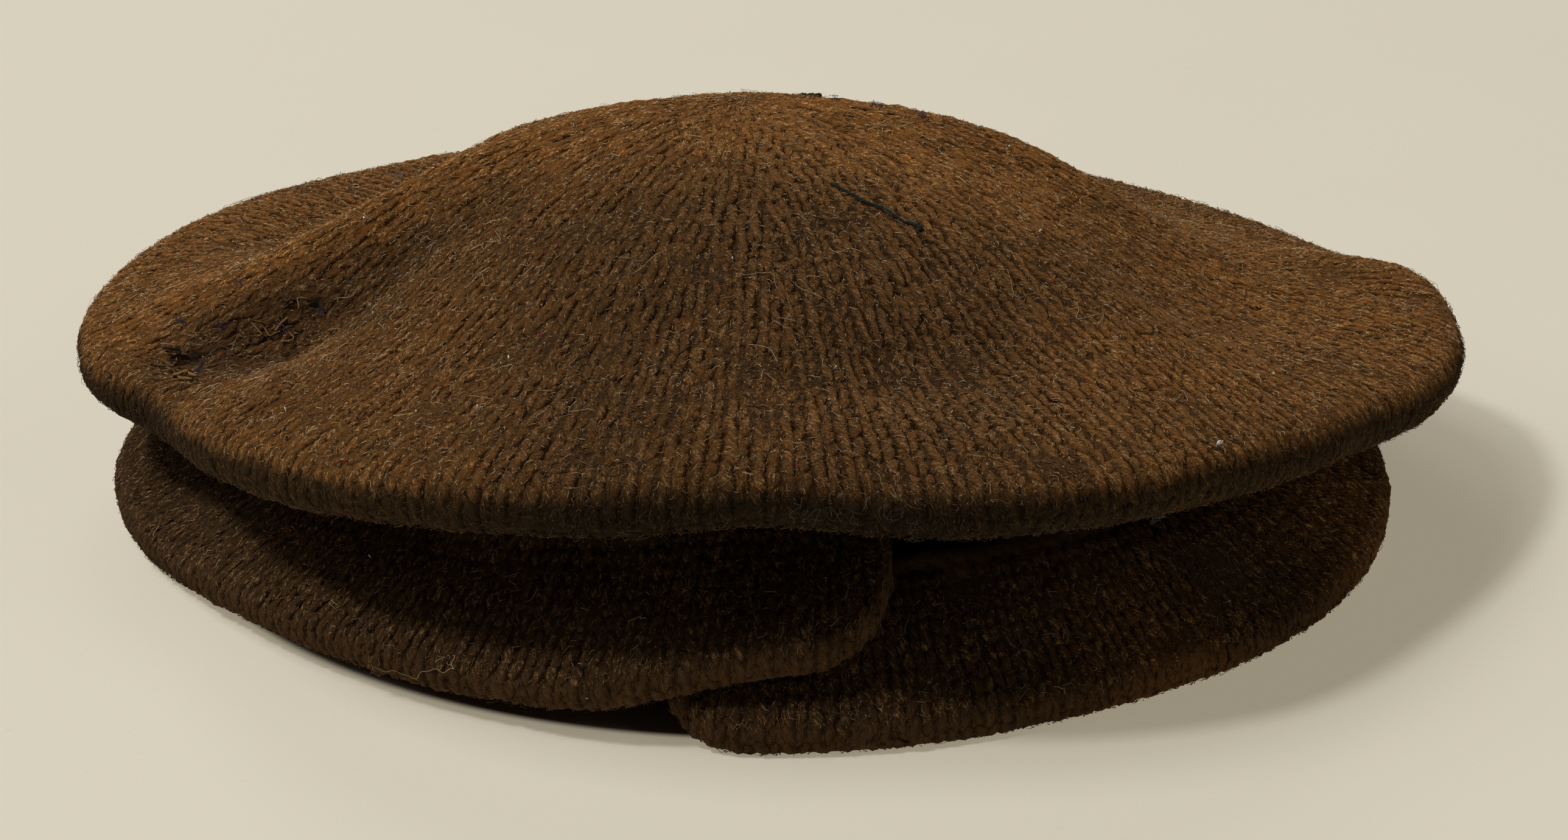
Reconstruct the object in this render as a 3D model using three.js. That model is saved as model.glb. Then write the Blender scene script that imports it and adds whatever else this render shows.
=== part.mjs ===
// A thick knitted wool cap: a wide hollow crown with a rolled rim, over a doubled brim split at the front.
// Millimetres, +Z up, the cap resting on its brim, its front toward -Y.
// Azimuths are in degrees from the front, positive toward the +X side.
import * as THREE from 'three';

// Crown sizes
const APEX_HEIGHT = 77;
const APEX_SHIFT_X = -4;
const KNIT_WALL = 3;
const RIM_ROLL_RADIUS = 5.5;
const OPENING_RADIUS = 83;
const NECK_BOTTOM = 11;
const NECK_BEND = 4;

// Brim sizes
const BRIM_THICKNESS = 8;
const BRIM_REST_FLATTENING = 0.45;
const BRIM_INNER_RADIUS = 86.8;
const BRIM_INNER_HEIGHT = 16.5;
const BRIM_CORNER_RADIUS = 20;
const BRIM_SHIFT_X = -4;

// Sections of the crown, one for each azimuth.
// reach and rim: radius and height of the outermost line of the rolled rim.
// h30, h60 and h90: height of the top at those radii. neck: height where the underside meets the neck.
const CROWN_SECTIONS = [
  { azimuth: 0, reach: 124.5, rim: 47.5, h30: 75.5, h60: 70, h90: 60.5, neck: 31 },
  { azimuth: 14, reach: 127.5, rim: 45, h30: 75.2, h60: 68.5, h90: 57.5, neck: 30.5 },
  { azimuth: 28, reach: 129, rim: 44, h30: 75.2, h60: 68, h90: 57, neck: 23.5 },
  { azimuth: 38, reach: 127, rim: 42, h30: 75.2, h60: 68, h90: 57, neck: 21 },
  { azimuth: 48, reach: 124.5, rim: 39, h30: 75.2, h60: 67.8, h90: 56, neck: 20.5 },
  { azimuth: 60, reach: 124.5, rim: 36, h30: 75, h60: 64.5, h90: 49.5, neck: 19.5 },
  { azimuth: 74, reach: 128, rim: 31.5, h30: 74.8, h60: 62, h90: 45.5, neck: 18.5 },
  { azimuth: 88, reach: 131.5, rim: 29.5, h30: 74.5, h60: 61.5, h90: 44.5, neck: 18 },
  { azimuth: 98, reach: 129.5, rim: 31, h30: 73, h60: 58.5, h90: 43, neck: 18 },
  { azimuth: 110, reach: 124, rim: 26, h30: 71, h60: 55.5, h90: 40, neck: 18 },
  { azimuth: 135, reach: 121, rim: 24, h30: 67.5, h60: 51, h90: 37, neck: 18 },
  { azimuth: 160, reach: 121, rim: 24, h30: 65.5, h60: 51, h90: 37, neck: 18 },
  { azimuth: 185, reach: 122, rim: 24, h30: 65, h60: 51, h90: 38, neck: 18 },
  { azimuth: 210, reach: 124, rim: 25.5, h30: 66, h60: 51, h90: 37, neck: 18 },
  { azimuth: 230, reach: 126, rim: 28.5, h30: 68.5, h60: 52, h90: 36, neck: 18 },
  { azimuth: 250, reach: 129, rim: 30, h30: 71, h60: 54.5, h90: 37.5, neck: 18 },
  { azimuth: 266, reach: 131, rim: 29.5, h30: 74, h60: 61, h90: 45.5, neck: 18 },
  { azimuth: 280, reach: 128.5, rim: 30, h30: 75.2, h60: 66, h90: 51, neck: 18 },
  { azimuth: 288, reach: 122.5, rim: 31, h30: 75.2, h60: 64.5, h90: 46, neck: 18.5 },
  { azimuth: 295, reach: 119.5, rim: 31.5, h30: 75.2, h60: 63.5, h90: 43.5, neck: 19.5 },
  { azimuth: 306, reach: 123.5, rim: 36, h30: 75.2, h60: 65, h90: 49, neck: 20.5 },
  { azimuth: 320, reach: 127.5, rim: 40, h30: 75.5, h60: 67.5, h90: 54.5, neck: 23 },
  { azimuth: 335, reach: 129, rim: 44, h30: 75.5, h60: 69.5, h90: 58.5, neck: 27.5 },
  { azimuth: 348, reach: 128, rim: 46, h30: 75.5, h60: 70.5, h90: 60.5, neck: 30.5 },
];

// Soft dents of the top: place in plan, size across and along the direction turn, depth. A bump is negative.
const DENTS = [
  { name: 'front dent', x: 27, y: -83, across: 18, along: 12, turn: 20, depth: 2.8 },
  { name: 'front bump', x: 4, y: -84, across: 12, along: 11, turn: 0, depth: -1.4 },
  { name: 'left crease', x: -92, y: -33, across: 24, along: 9, turn: 3, depth: 3 },
  { name: 'left ridge', x: -88, y: -11, across: 36, along: 6, turn: 0, depth: -1.6 },
  { name: 'right crease', x: 105, y: 8, across: 13, along: 8, turn: -20, depth: 1.8 },
  { name: 'back left shoulder', x: -57, y: 80, across: 18, along: 18, turn: 0, depth: -3.6 },
  { name: 'left shoulder', x: -50, y: 12, across: 15, along: 17, turn: 0, depth: -3.2 },
  { name: 'right shoulder', x: 50, y: 4, across: 15, along: 14, turn: 0, depth: -2 },
];

// Sections of the brim. The strip starts under its own far end and comes round over it.
// reach: radius of the outer edge. lift and innerLift: how far its two edges are raised.
const BRIM_SECTIONS = [
  { azimuth: -9, reach: 121, lift: 0, innerLift: 3 },
  { azimuth: 10, reach: 122, lift: 0, innerLift: 3 },
  { azimuth: 30, reach: 121.5, lift: 0, innerLift: 3 },
  { azimuth: 58, reach: 123.5, lift: 0, innerLift: 1 },
  { azimuth: 90, reach: 122, lift: 0, innerLift: 0 },
  { azimuth: 135, reach: 121, lift: 0, innerLift: 0 },
  { azimuth: 180, reach: 120, lift: 0, innerLift: 0 },
  { azimuth: 225, reach: 121, lift: 0, innerLift: 0 },
  { azimuth: 270, reach: 121, lift: 0, innerLift: 0 },
  { azimuth: 290, reach: 118.2, lift: 0.5, innerLift: 0 },
  { azimuth: 305, reach: 115.8, lift: 2.5, innerLift: 2 },
  { azimuth: 320, reach: 116.2, lift: 4, innerLift: 4.5 },
  { azimuth: 336, reach: 118, lift: 4.5, innerLift: 9 },
  { azimuth: 348, reach: 120.5, lift: 6.5, innerLift: 12 },
  { azimuth: 356, reach: 119.5, lift: 10.5, innerLift: 13 },
  { azimuth: 363, reach: 119, lift: 13, innerLift: 13 },
  { azimuth: 373.5, reach: 118.5, lift: 13, innerLift: 13 },
];

// Mesh steps
const CROWN_SECTORS = 90;
const TOP_STATIONS = [14, 28, 42, 54, 64, 74, 84, 94, 103, 112];
const ROLL_ANGLES = [70, 40, 10, -20, -50, -80];
const UNDERSIDE_STEPS = 4;
const BEND_ANGLES = [60, 30, 0];
const BRIM_STEP = 4;
const BRIM_END_STEPS = [0, 0.8, 2, 4, 8, 13, 20];

const DEGREE = Math.PI / 180;

// The piecewise cubic through rows of [place, value], with level ends or the given end slopes.
function curveThrough(rows, startSlope, endSlope) {
  const slopes = rows.map((row, i) => {
    if (i === 0) return startSlope;
    if (i === rows.length - 1) return endSlope;
    return (rows[i + 1][1] - rows[i - 1][1]) / (rows[i + 1][0] - rows[i - 1][0]);
  });
  return (place) => {
    let i = 0;
    while (i < rows.length - 2 && place > rows[i + 1][0]) i += 1;
    const span = rows[i + 1][0] - rows[i][0];
    const t = Math.min(Math.max((place - rows[i][0]) / span, 0), 1);
    const t2 = t * t;
    const t3 = t2 * t;
    return (2 * t3 - 3 * t2 + 1) * rows[i][1]
      + (t3 - 2 * t2 + t) * slopes[i] * span
      + (3 * t2 - 2 * t3) * rows[i + 1][1]
      + (t3 - t2) * slopes[i + 1] * span;
  };
}

// One column of a table of sections as a curve over azimuth. A ring's rows go on past both ends of the table.
function columnCurve(sections, column, ring) {
  const rows = sections.map((section) => [section.azimuth, section[column]]);
  if (!ring) return curveThrough(rows, 0, 0);
  const before = rows.slice(-2).map(([azimuth, value]) => [azimuth - 360, value]);
  const after = rows.slice(0, 3).map(([azimuth, value]) => [azimuth + 360, value]);
  return curveThrough([...before, ...rows, ...after], 0, 0);
}

function columnCurves(sections, ring) {
  const names = Object.keys(sections[0]).filter((name) => name !== 'azimuth');
  return Object.fromEntries(names.map((name) => [name, columnCurve(sections, name, ring)]));
}

function valuesAt(curves, azimuth) {
  return Object.fromEntries(Object.entries(curves).map(([name, curve]) => [name, curve(azimuth)]));
}

// The depth of all the dents at a place in plan.
function dentDepth(x, y) {
  let depth = 0;
  for (const dent of DENTS) {
    const turn = dent.turn * DEGREE;
    const across = ((x - dent.x) * Math.cos(turn) + (y - dent.y) * Math.sin(turn)) / dent.across;
    const along = ((y - dent.y) * Math.cos(turn) - (x - dent.x) * Math.sin(turn)) / dent.along;
    depth += dent.depth * Math.exp(-across * across - along * along);
  }
  return depth;
}

// The outer side of the crown at one azimuth, as [radius, height] from the apex to the bottom of the neck.
function crownSection(section, azimuth) {
  const rollCentre = section.reach - RIM_ROLL_RADIUS;
  const rollPoint = (angle) => [
    rollCentre + RIM_ROLL_RADIUS * Math.cos(angle * DEGREE),
    section.rim + RIM_ROLL_RADIUS * Math.sin(angle * DEGREE),
  ];
  const rollStart = ROLL_ANGLES[0];
  const top = curveThrough(
    [[0, APEX_HEIGHT], [30, section.h30], [60, section.h60], [90, section.h90], rollPoint(rollStart)],
    0,
    -1 / Math.tan(rollStart * DEGREE),
  );
  const points = [[0, APEX_HEIGHT]];
  for (const radius of TOP_STATIONS) {
    const x = radius * Math.sin(azimuth * DEGREE);
    const y = -radius * Math.cos(azimuth * DEGREE);
    points.push([radius, top(radius) - dentDepth(x, y)]);
  }
  for (const angle of ROLL_ANGLES) points.push(rollPoint(angle));
  const neckRadius = OPENING_RADIUS + KNIT_WALL;
  const bendCentre = neckRadius + NECK_BEND;
  const [rollEnd, rollBottom] = [rollCentre, section.rim - RIM_ROLL_RADIUS];
  for (let step = 1; step <= UNDERSIDE_STEPS; step += 1) {
    const t = step / UNDERSIDE_STEPS;
    const eased = t * t * (3 - 2 * t);
    points.push([
      rollEnd + (bendCentre - rollEnd) * t,
      rollBottom + (section.neck + NECK_BEND - rollBottom) * eased,
    ]);
  }
  for (const angle of BEND_ANGLES) {
    points.push([
      bendCentre - NECK_BEND * Math.cos(angle * DEGREE),
      section.neck + NECK_BEND * Math.sin(angle * DEGREE),
    ]);
  }
  points.push([neckRadius, NECK_BOTTOM]);
  return points;
}

// The same line moved inward by the thickness of the knit, from the neck back up to the apex.
function insideOf(points) {
  const inside = points.map(([radius, height], i) => {
    if (i === 0) return [0, height - KNIT_WALL];
    const last = points.length - 1;
    const [r0, z0] = points[i - 1];
    const [r1, z1] = points[Math.min(i + 1, last)];
    const length = Math.hypot(r1 - r0, z1 - z0);
    if (i === last) return [radius - KNIT_WALL, height];
    return [radius + (KNIT_WALL * (z1 - z0)) / length, height - (KNIT_WALL * (r1 - r0)) / length];
  });
  return inside.reverse();
}

// A closed mesh from rings of [x, y, z]. Each ring joins the next, and a fan closes each end.
function meshOfRings(rings, startPoint, endPoint) {
  const count = rings[0].length;
  const positions = [...rings.flat(), startPoint, endPoint].flat();
  const start = rings.length * count;
  const index = [];
  for (let j = 0; j < count; j += 1) {
    const k = (j + 1) % count;
    index.push(start, j, k);
    const last = (rings.length - 1) * count;
    index.push(start + 1, last + k, last + j);
    for (let i = 0; i + 1 < rings.length; i += 1) {
      const a = i * count + j;
      const b = i * count + k;
      const c = a + count;
      const d = b + count;
      index.push(a, c, b, b, c, d);
    }
  }
  const geometry = new THREE.BufferGeometry();
  geometry.setAttribute('position', new THREE.Float32BufferAttribute(positions, 3));
  geometry.setIndex(index);
  geometry.computeVertexNormals();
  return geometry;
}

function makeCrown() {
  const curves = columnCurves(CROWN_SECTIONS, true);
  const columns = [];
  for (let sector = 0; sector < CROWN_SECTORS; sector += 1) {
    const azimuth = (360 * sector) / CROWN_SECTORS;
    const section = valuesAt(curves, azimuth);
    const outside = crownSection(section, azimuth);
    const profile = [...outside, ...insideOf(outside)];
    columns.push(profile.map(([radius, height]) => {
      const shift = APEX_SHIFT_X * (1 - radius / section.reach) ** 2;
      return [
        radius * Math.sin(azimuth * DEGREE) + shift,
        -radius * Math.cos(azimuth * DEGREE),
        height,
      ];
    }));
  }
  const rows = columns[0].length;
  const rings = [];
  for (let row = 1; row < rows - 1; row += 1) rings.push(columns.map((column) => column[row]));
  const apex = [APEX_SHIFT_X, 0, APEX_HEIGHT];
  const ceiling = [APEX_SHIFT_X, 0, APEX_HEIGHT - KNIT_WALL];
  return meshOfRings(rings, apex, ceiling);
}

// The section of the brim strip as [radius, height] points, counterclockwise from the rest face.
function brimSection(section, slimming, cornerCut) {
  const half = BRIM_THICKNESS / 2;
  const outer = [section.reach - cornerCut - half, half - BRIM_REST_FLATTENING + section.lift];
  const inner = [BRIM_INNER_RADIUS + half, BRIM_INNER_HEIGHT + section.innerLift];
  const edge = [section.reach - half, outer[1]];
  outer[1] = inner[1] + ((edge[1] - inner[1]) * (outer[0] - inner[0])) / (edge[0] - inner[0]);
  const slope = Math.atan2(inner[1] - outer[1], outer[0] - inner[0]) / DEGREE;
  const around = ([radius, height], angle) => [
    radius + half * slimming * Math.cos(angle * DEGREE),
    height + half * slimming * Math.sin(angle * DEGREE),
  ];
  const between = (a, b, t) => [a[0] + (b[0] - a[0]) * t, a[1] + (b[1] - a[1]) * t];
  const topOuter = around(outer, 90 - slope);
  const topInner = around(inner, 90 - slope);
  const bottomInner = around(inner, 270 - slope);
  const bottomOuter = around(outer, 270 - slope);
  const points = [
    bottomOuter,
    around(outer, -63),
    around(outer, -35),
    around(outer, -5),
    around(outer, 28),
    topOuter,
    between(topOuter, topInner, 1 / 3),
    between(topOuter, topInner, 2 / 3),
    topInner,
    around(inner, 135 - slope),
    around(inner, 180 - slope),
    around(inner, 225 - slope),
    bottomInner,
    between(bottomInner, bottomOuter, 0.5),
  ];
  return points.map(([radius, height]) => [radius, Math.max(height, 0)]);
}

function makeBrim() {
  const curves = columnCurves(BRIM_SECTIONS, false);
  const first = BRIM_SECTIONS[0].azimuth;
  const last = BRIM_SECTIONS[BRIM_SECTIONS.length - 1].azimuth;
  const edgeDegrees = (length) => length / (BRIM_SECTIONS[0].reach * DEGREE);
  const endSpan = edgeDegrees(BRIM_END_STEPS[BRIM_END_STEPS.length - 1]);
  const middleSteps = Math.round((last - first - 2 * endSpan) / BRIM_STEP);
  const azimuths = BRIM_END_STEPS.map((step) => first + edgeDegrees(step));
  for (let step = 1; step < middleSteps; step += 1) {
    azimuths.push(first + endSpan + ((last - first - 2 * endSpan) * step) / middleSteps);
  }
  azimuths.push(...[...BRIM_END_STEPS].reverse().map((step) => last - edgeDegrees(step)));
  const half = BRIM_THICKNESS / 2;
  const rings = azimuths.map((azimuth) => {
    const fromEnd = Math.min(azimuth - first, last - azimuth) / edgeDegrees(1);
    const slimming = fromEnd < half ? Math.sqrt(1 - (0.9 * (1 - fromEnd / half)) ** 2) : 1;
    const inCorner = Math.max(BRIM_CORNER_RADIUS - fromEnd, 0);
    const cornerCut = BRIM_CORNER_RADIUS - Math.sqrt(BRIM_CORNER_RADIUS ** 2 - inCorner ** 2);
    const section = valuesAt(curves, azimuth);
    return brimSection(section, slimming, cornerCut).map(([radius, height]) => {
      const outward = (radius - BRIM_INNER_RADIUS) / (section.reach - BRIM_INNER_RADIUS);
      return [
        radius * Math.sin(azimuth * DEGREE) + BRIM_SHIFT_X * outward,
        -radius * Math.cos(azimuth * DEGREE),
        height,
      ];
    });
  });
  const mean = (ring, axis) => ring.reduce((sum, point) => sum + point[axis], 0) / ring.length;
  const middleOf = (ring) => [0, 1, 2].map((axis) => mean(ring, axis));
  return meshOfRings(rings, middleOf(rings[0]), middleOf(rings[rings.length - 1]));
}

function knit(name, geometry, colour) {
  const material = new THREE.MeshStandardMaterial({ color: colour, roughness: 0.95, metalness: 0 });
  const mesh = new THREE.Mesh(geometry, material);
  mesh.name = name;
  return mesh;
}

const cap = new THREE.Group();
cap.name = 'wool_cap';
cap.add(knit('crown', makeCrown(), 0x4a2f1a));
cap.add(knit('brim', makeBrim(), 0x432a17));

// The middle of the cap's box goes over the origin.
const box = new THREE.Box3().setFromObject(cap);
const middle = box.getCenter(new THREE.Vector3());
for (const mesh of cap.children) mesh.geometry.translate(-middle.x, -middle.y, -box.min.z);

export default cap;
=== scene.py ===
"""A thick knitted wool cap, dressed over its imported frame.

The wide hollow crown and the doubled brim each stand for their solid. Each has a closed felted skin,
and on it the yarn of its stitches: two legs to a stitch, in wales that run out from the middle of the
crown. Loose wool, lint, a stray thread and a small knot lie on them. Shapes are worked out in
millimetres and put into meshes in metres. Azimuths are in degrees from the front, positive toward +X.
"""

import logging
import math
from dataclasses import dataclass
from enum import Enum
from typing import Any, ClassVar, Sequence

import bpy
import numpy as np
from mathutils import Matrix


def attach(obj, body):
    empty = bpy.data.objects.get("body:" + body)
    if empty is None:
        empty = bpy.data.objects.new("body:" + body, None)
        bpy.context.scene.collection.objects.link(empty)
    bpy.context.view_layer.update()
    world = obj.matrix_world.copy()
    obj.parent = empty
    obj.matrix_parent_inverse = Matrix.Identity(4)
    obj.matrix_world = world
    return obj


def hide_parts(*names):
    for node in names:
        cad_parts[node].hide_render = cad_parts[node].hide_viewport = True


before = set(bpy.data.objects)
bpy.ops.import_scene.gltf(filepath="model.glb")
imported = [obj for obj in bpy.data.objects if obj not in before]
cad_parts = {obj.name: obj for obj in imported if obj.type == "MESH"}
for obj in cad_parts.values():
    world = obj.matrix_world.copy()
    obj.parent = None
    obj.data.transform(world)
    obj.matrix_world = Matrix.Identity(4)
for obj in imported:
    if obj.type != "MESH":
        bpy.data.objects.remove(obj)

LOG = logging.getLogger("wool_cap")
Array = np.ndarray
Colour = tuple[float, float, float]
Faces = list[tuple[int, ...]]
Places = tuple[tuple[float, float], ...]  # azimuth and share of the section of each place
Settings = dict[str, Any]
Inputs = dict[str | int, Any]

MM = 0.001
TURN = 2 * math.pi
COURSE = 3.1  # height of one stitch along its wale, mm
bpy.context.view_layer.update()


# Curves and unevenness


def curve_through(places: Array, values: Array, at: Array, start: Array | float, end: Array | float) -> Array:
    """A smooth curve through knots, evaluated for many columns at once.

    Args:
        places: Knot places, shaped (columns, knots), rising along the second axis.
        values: Knot values of the same shape.
        at: Where to evaluate, shaped (columns, points).
        start: Slope at the first knot.
        end: Slope at the last knot.

    Returns:
        The curve's values, shaped as at.
    """
    slopes = np.empty_like(values)
    slopes[:, 1:-1] = (values[:, 2:] - values[:, :-2]) / (places[:, 2:] - places[:, :-2])
    slopes[:, 0] = start
    slopes[:, -1] = end
    found = np.zeros(np.broadcast_shapes(at.shape, (values.shape[0], 1)))
    for k in range(places.shape[1] - 1):
        low, high = places[:, k, None], places[:, k + 1, None]
        span = high - low
        t = np.clip((at - low) / span, 0.0, 1.0)
        piece = (
            (2 * t**3 - 3 * t**2 + 1) * values[:, k, None]
            + (t**3 - 2 * t**2 + t) * slopes[:, k, None] * span
            + (3 * t**2 - 2 * t**3) * values[:, k + 1, None]
            + (t**3 - t**2) * slopes[:, k + 1, None] * span
        )
        found = np.where((at >= low) | (k == 0), piece, found)
    return found


def unit(vectors: Array) -> Array:
    """Vectors of the same directions with length one."""
    return vectors / np.maximum(np.linalg.norm(vectors, axis=-1, keepdims=True), 1e-9)


def run_along(lines: Array) -> Array:
    """Distance of each point of each line from the line's start."""
    return np.pad(np.cumsum(np.linalg.norm(np.diff(lines, axis=1), axis=-1), axis=1), ((0, 0), (1, 0)))


def turned_out(section: Array, azimuth: Array, shift: Array) -> Array:
    """Radius and height in each column as points in space, moved sideways by shift."""
    way, reach = np.radians(azimuth)[:, None], section[..., 0]
    return np.stack([reach * np.sin(way) + shift, -reach * np.cos(way), section[..., 1]], axis=-1)


@dataclass(frozen=True)
class Sections:
    """A table of sections round a piece, each column a smooth curve over azimuth."""

    columns: tuple[str, ...]  # names of the columns, azimuth first
    rows: tuple[tuple[float, ...], ...]  # one row for each section
    ring: bool  # whether the table closes on itself

    def at(self, azimuth: Array) -> dict[str, Array]:
        """Every column at each azimuth.

        Args:
            azimuth: Azimuths in degrees.

        Returns:
            One array for each column but the first.
        """
        table = np.array(self.rows, dtype=float)
        if self.ring:
            before, after = table[-2:].copy(), table[:3].copy()
            before[:, 0] -= 360.0
            after[:, 0] += 360.0
            table = np.vstack([before, table, after])
        found = {}
        for i, name in enumerate(self.columns[1:], 1):
            found[name] = curve_through(table[None, :, 0], table[None, :, i], azimuth[None, :], 0.0, 0.0)[0]
        return found


@dataclass(frozen=True)
class Ripple:
    """Smooth unevenness made of many plane waves, the same on each run."""

    seed: int  # seed of the waves
    shortest: float  # shortest wavelength, mm
    longest: float  # longest wavelength, mm
    waves: int = 36  # how many waves are added

    def at(self, points: Array) -> Array:
        """Unevenness of about unit size at each point of an array shaped (..., 3)."""
        rng = np.random.default_rng(self.seed)
        ways = unit(rng.normal(size=(self.waves, 3)))
        lengths = self.shortest * (self.longest / self.shortest) ** rng.random(self.waves)
        phases = rng.random(self.waves) * TURN
        total = np.zeros(points.shape[:-1])
        for way, length, phase in zip(ways, lengths, phases):
            total += np.sin(points @ way * (TURN / length) + phase)
        return total * math.sqrt(2.0 / self.waves)


Spots = tuple[tuple[float, float, float, float, float], ...]


@dataclass(frozen=True)
class PaintedLightAndWear:
    """Painted light and the state of the wool from place to place: painted highlight, how clearly the
    stitches show, and painted shadow in moth holes.
    """

    # Distances to the back, mm, between which the crown's painted highlight grows, a painted sheen for wool
    # seen at a grazing angle, and between which it weakens again
    back: tuple[float, float] = (-55.0, -15.0)
    far_back: tuple[float, float] = (30.0, 80.0)
    # Distances from the middle, mm, between which it grows to the sides
    sides: tuple[float, float] = (25.0, 65.0)
    # Heights, mm, between which it starts
    heights: tuple[float, float] = (22.0, 32.0)
    back_strength: float = 0.9  # strength of the painted highlight at the back
    far_loss: float = 0.4  # share of that which it loses again farther back
    side_strength: float = 0.45  # strength of the painted highlight at the sides
    # Spots of painted light: positive ones paint highlight on ridges and slopes, negative ones take it away
    # as painted shade in creases and dents; centre, radius and strength, mm
    light_and_shade_spots: Spots = (
        (38, -34, 66, 18, 0.55),
        (-96, 20, 40, 24, -0.3),
        (0, -40, 72, 20, -0.15),
        (-98, -30, 42, 15, -0.4),
        (-108, -7, 43, 9, 0.6),
        (-96, -10, 48, 9, 0.65),
        (-84, -11, 54, 9, 0.7),
        (-72, -11, 61, 9, 0.7),
        (-60, -9, 67, 9, 0.7),
        (-50, -6, 71, 9, 0.5),
        (-104, -24, 40, 10, -0.4),
        (-92, -24, 46, 10, -0.45),
        (-80, -24, 50, 10, -0.5),
        (-68, -25, 56, 10, -0.5),
        (-57, -24, 63, 10, -0.5),
        (-47, -24, 67, 9, -0.4),
        (-68, -40, 51, 13, -0.4),
        (53, -52, 62, 16, -0.25),
        (-102, -12, 44, 14, 0.25),
        (0, -104, 56, 20, 0.15),
        (-6, -118, 51, 14, 0.1),
        (-80, -82, 45, 26, 0.2),
        (107, -35, 10, 26, 1.0),
        (69, -93, 8, 18, 0.5),
        (28, -72, 61, 16, -0.2),
        (62, -68, 56, 9, 0.2),
        (78, -70, 50, 10, 0.35),
        (93, -66, 44, 10, 0.3),
    )
    # Spots where the stitches show through the felt
    clearer: Spots = (
        (0, -98, 57, 42, 0.5),
        (0, -60, 69, 24, 0.5),
        (-90, -28, 44, 24, 1.1),
        (-60, -28, 60, 22, 0.6),
        (27, -86, 55, 13, 0.5),
        (0, -112, 9, 60, 0.8),
        (-82, -86, 8, 38, 0.7),
        (100, -40, 10, 60, 0.6),
    )
    # Holes that moths have eaten, down to the shadow below
    pits: Spots = (
        (-106, -31, 37, 2.8, 0.9),
        (-101, -30, 39.5, 2.2, 0.6),
        (-87, -34, 39.7, 2.4, 0.8),
        (-83, -27, 46.2, 2.8, 0.8),
        (-78, -27, 48.6, 2.4, 0.6),
    )

    @staticmethod
    def step(values: Array, low: float, high: float) -> Array:
        """0 below low, 1 above high, smooth between."""
        t = np.clip((values - low) / (high - low), 0.0, 1.0)
        return t * t * (3 - 2 * t)

    @staticmethod
    def spotted(points: Array, spots: Spots) -> Array:
        """The sum of some spots at points in mm."""
        total = np.zeros(points.shape[:-1])
        for x, y, z, radius, strength in spots:
            far = ((points - (x, y, z)) ** 2).sum(axis=-1)
            total += strength * np.exp(-far / radius**2)
        return total

    def states(self, points: Array) -> dict[str, Array]:
        """Painted highlight, clearness of the stitches and painted hole shadow at points in mm, each from 0
        to 1.
        """
        x, y, z = points[..., 0], points[..., 1], points[..., 2]
        # Painted highlight: the back and sides of the crown are lightened as a painted sheen.
        back = self.back_strength * self.step(y, *self.back)
        back = back * (1.0 - self.far_loss * self.step(y, *self.far_back))
        sides = self.side_strength * self.step(np.abs(x), *self.sides)
        painted_highlight = np.maximum(back, sides) * self.step(z, *self.heights)
        return {
            "painted_highlight": np.clip(painted_highlight + self.spotted(points, self.light_and_shade_spots), 0.0, 1.0),
            "clear": np.clip(self.spotted(points, self.clearer), 0.0, 1.0),
            "hole_shadow": np.clip(self.spotted(points, self.pits), 0.0, 1.0),
        }


# Shader nodes

PATCH = 17.0  # size of the patches that make the edge of the painted shade below uneven, and of darker patches of yarn, mm
WOOL_GAIN = (2.7, 2.4, 1.9)  # how much lighter the painted highlight makes wool, in red, green and blue
FIBRE_GAIN = (1.5, 1.4, 1.2)  # the same for loose fibre
HOLE = (0.003, 0.0022, 0.0014)  # colour of the shadow in a moth hole
SHEEN_TINT = (1.0, 0.46, 0.15)  # colour of the sheen of wool
SHEEN_ROUGHNESS = 0.3


class Value:
    """A socket that takes part in Python expressions, each operator adding a Math node."""

    def __init__(self, shade: "Shade", socket: bpy.types.NodeSocket) -> None:
        """Wraps an output socket of the tree that shade builds."""
        self.shade = shade
        self.socket = socket

    def math(self, operation: str, *others: "Value | float") -> "Value":
        """This value and others through one Math node."""
        return self.shade.math(operation, self, *others)

    def __add__(self, other: "Value | float") -> "Value":
        """self + other."""
        return self.math("ADD", other)

    def __mul__(self, other: "Value | float") -> "Value":
        """self * other."""
        return self.math("MULTIPLY", other)

    def __sub__(self, other: "Value | float") -> "Value":
        """self - other."""
        return self.math("SUBTRACT", other)

    def __rsub__(self, other: float) -> "Value":
        """other - self."""
        return self.shade.math("SUBTRACT", other, self)

    def between(self, low: float, high: float) -> "Value":
        """0 below low, 1 above high, and a smooth step between them."""
        inputs = {"Value": self, "From Min": low, "From Max": high}
        return self.shade.node("ShaderNodeMapRange", {"interpolation_type": "SMOOTHSTEP"}, inputs)


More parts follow.
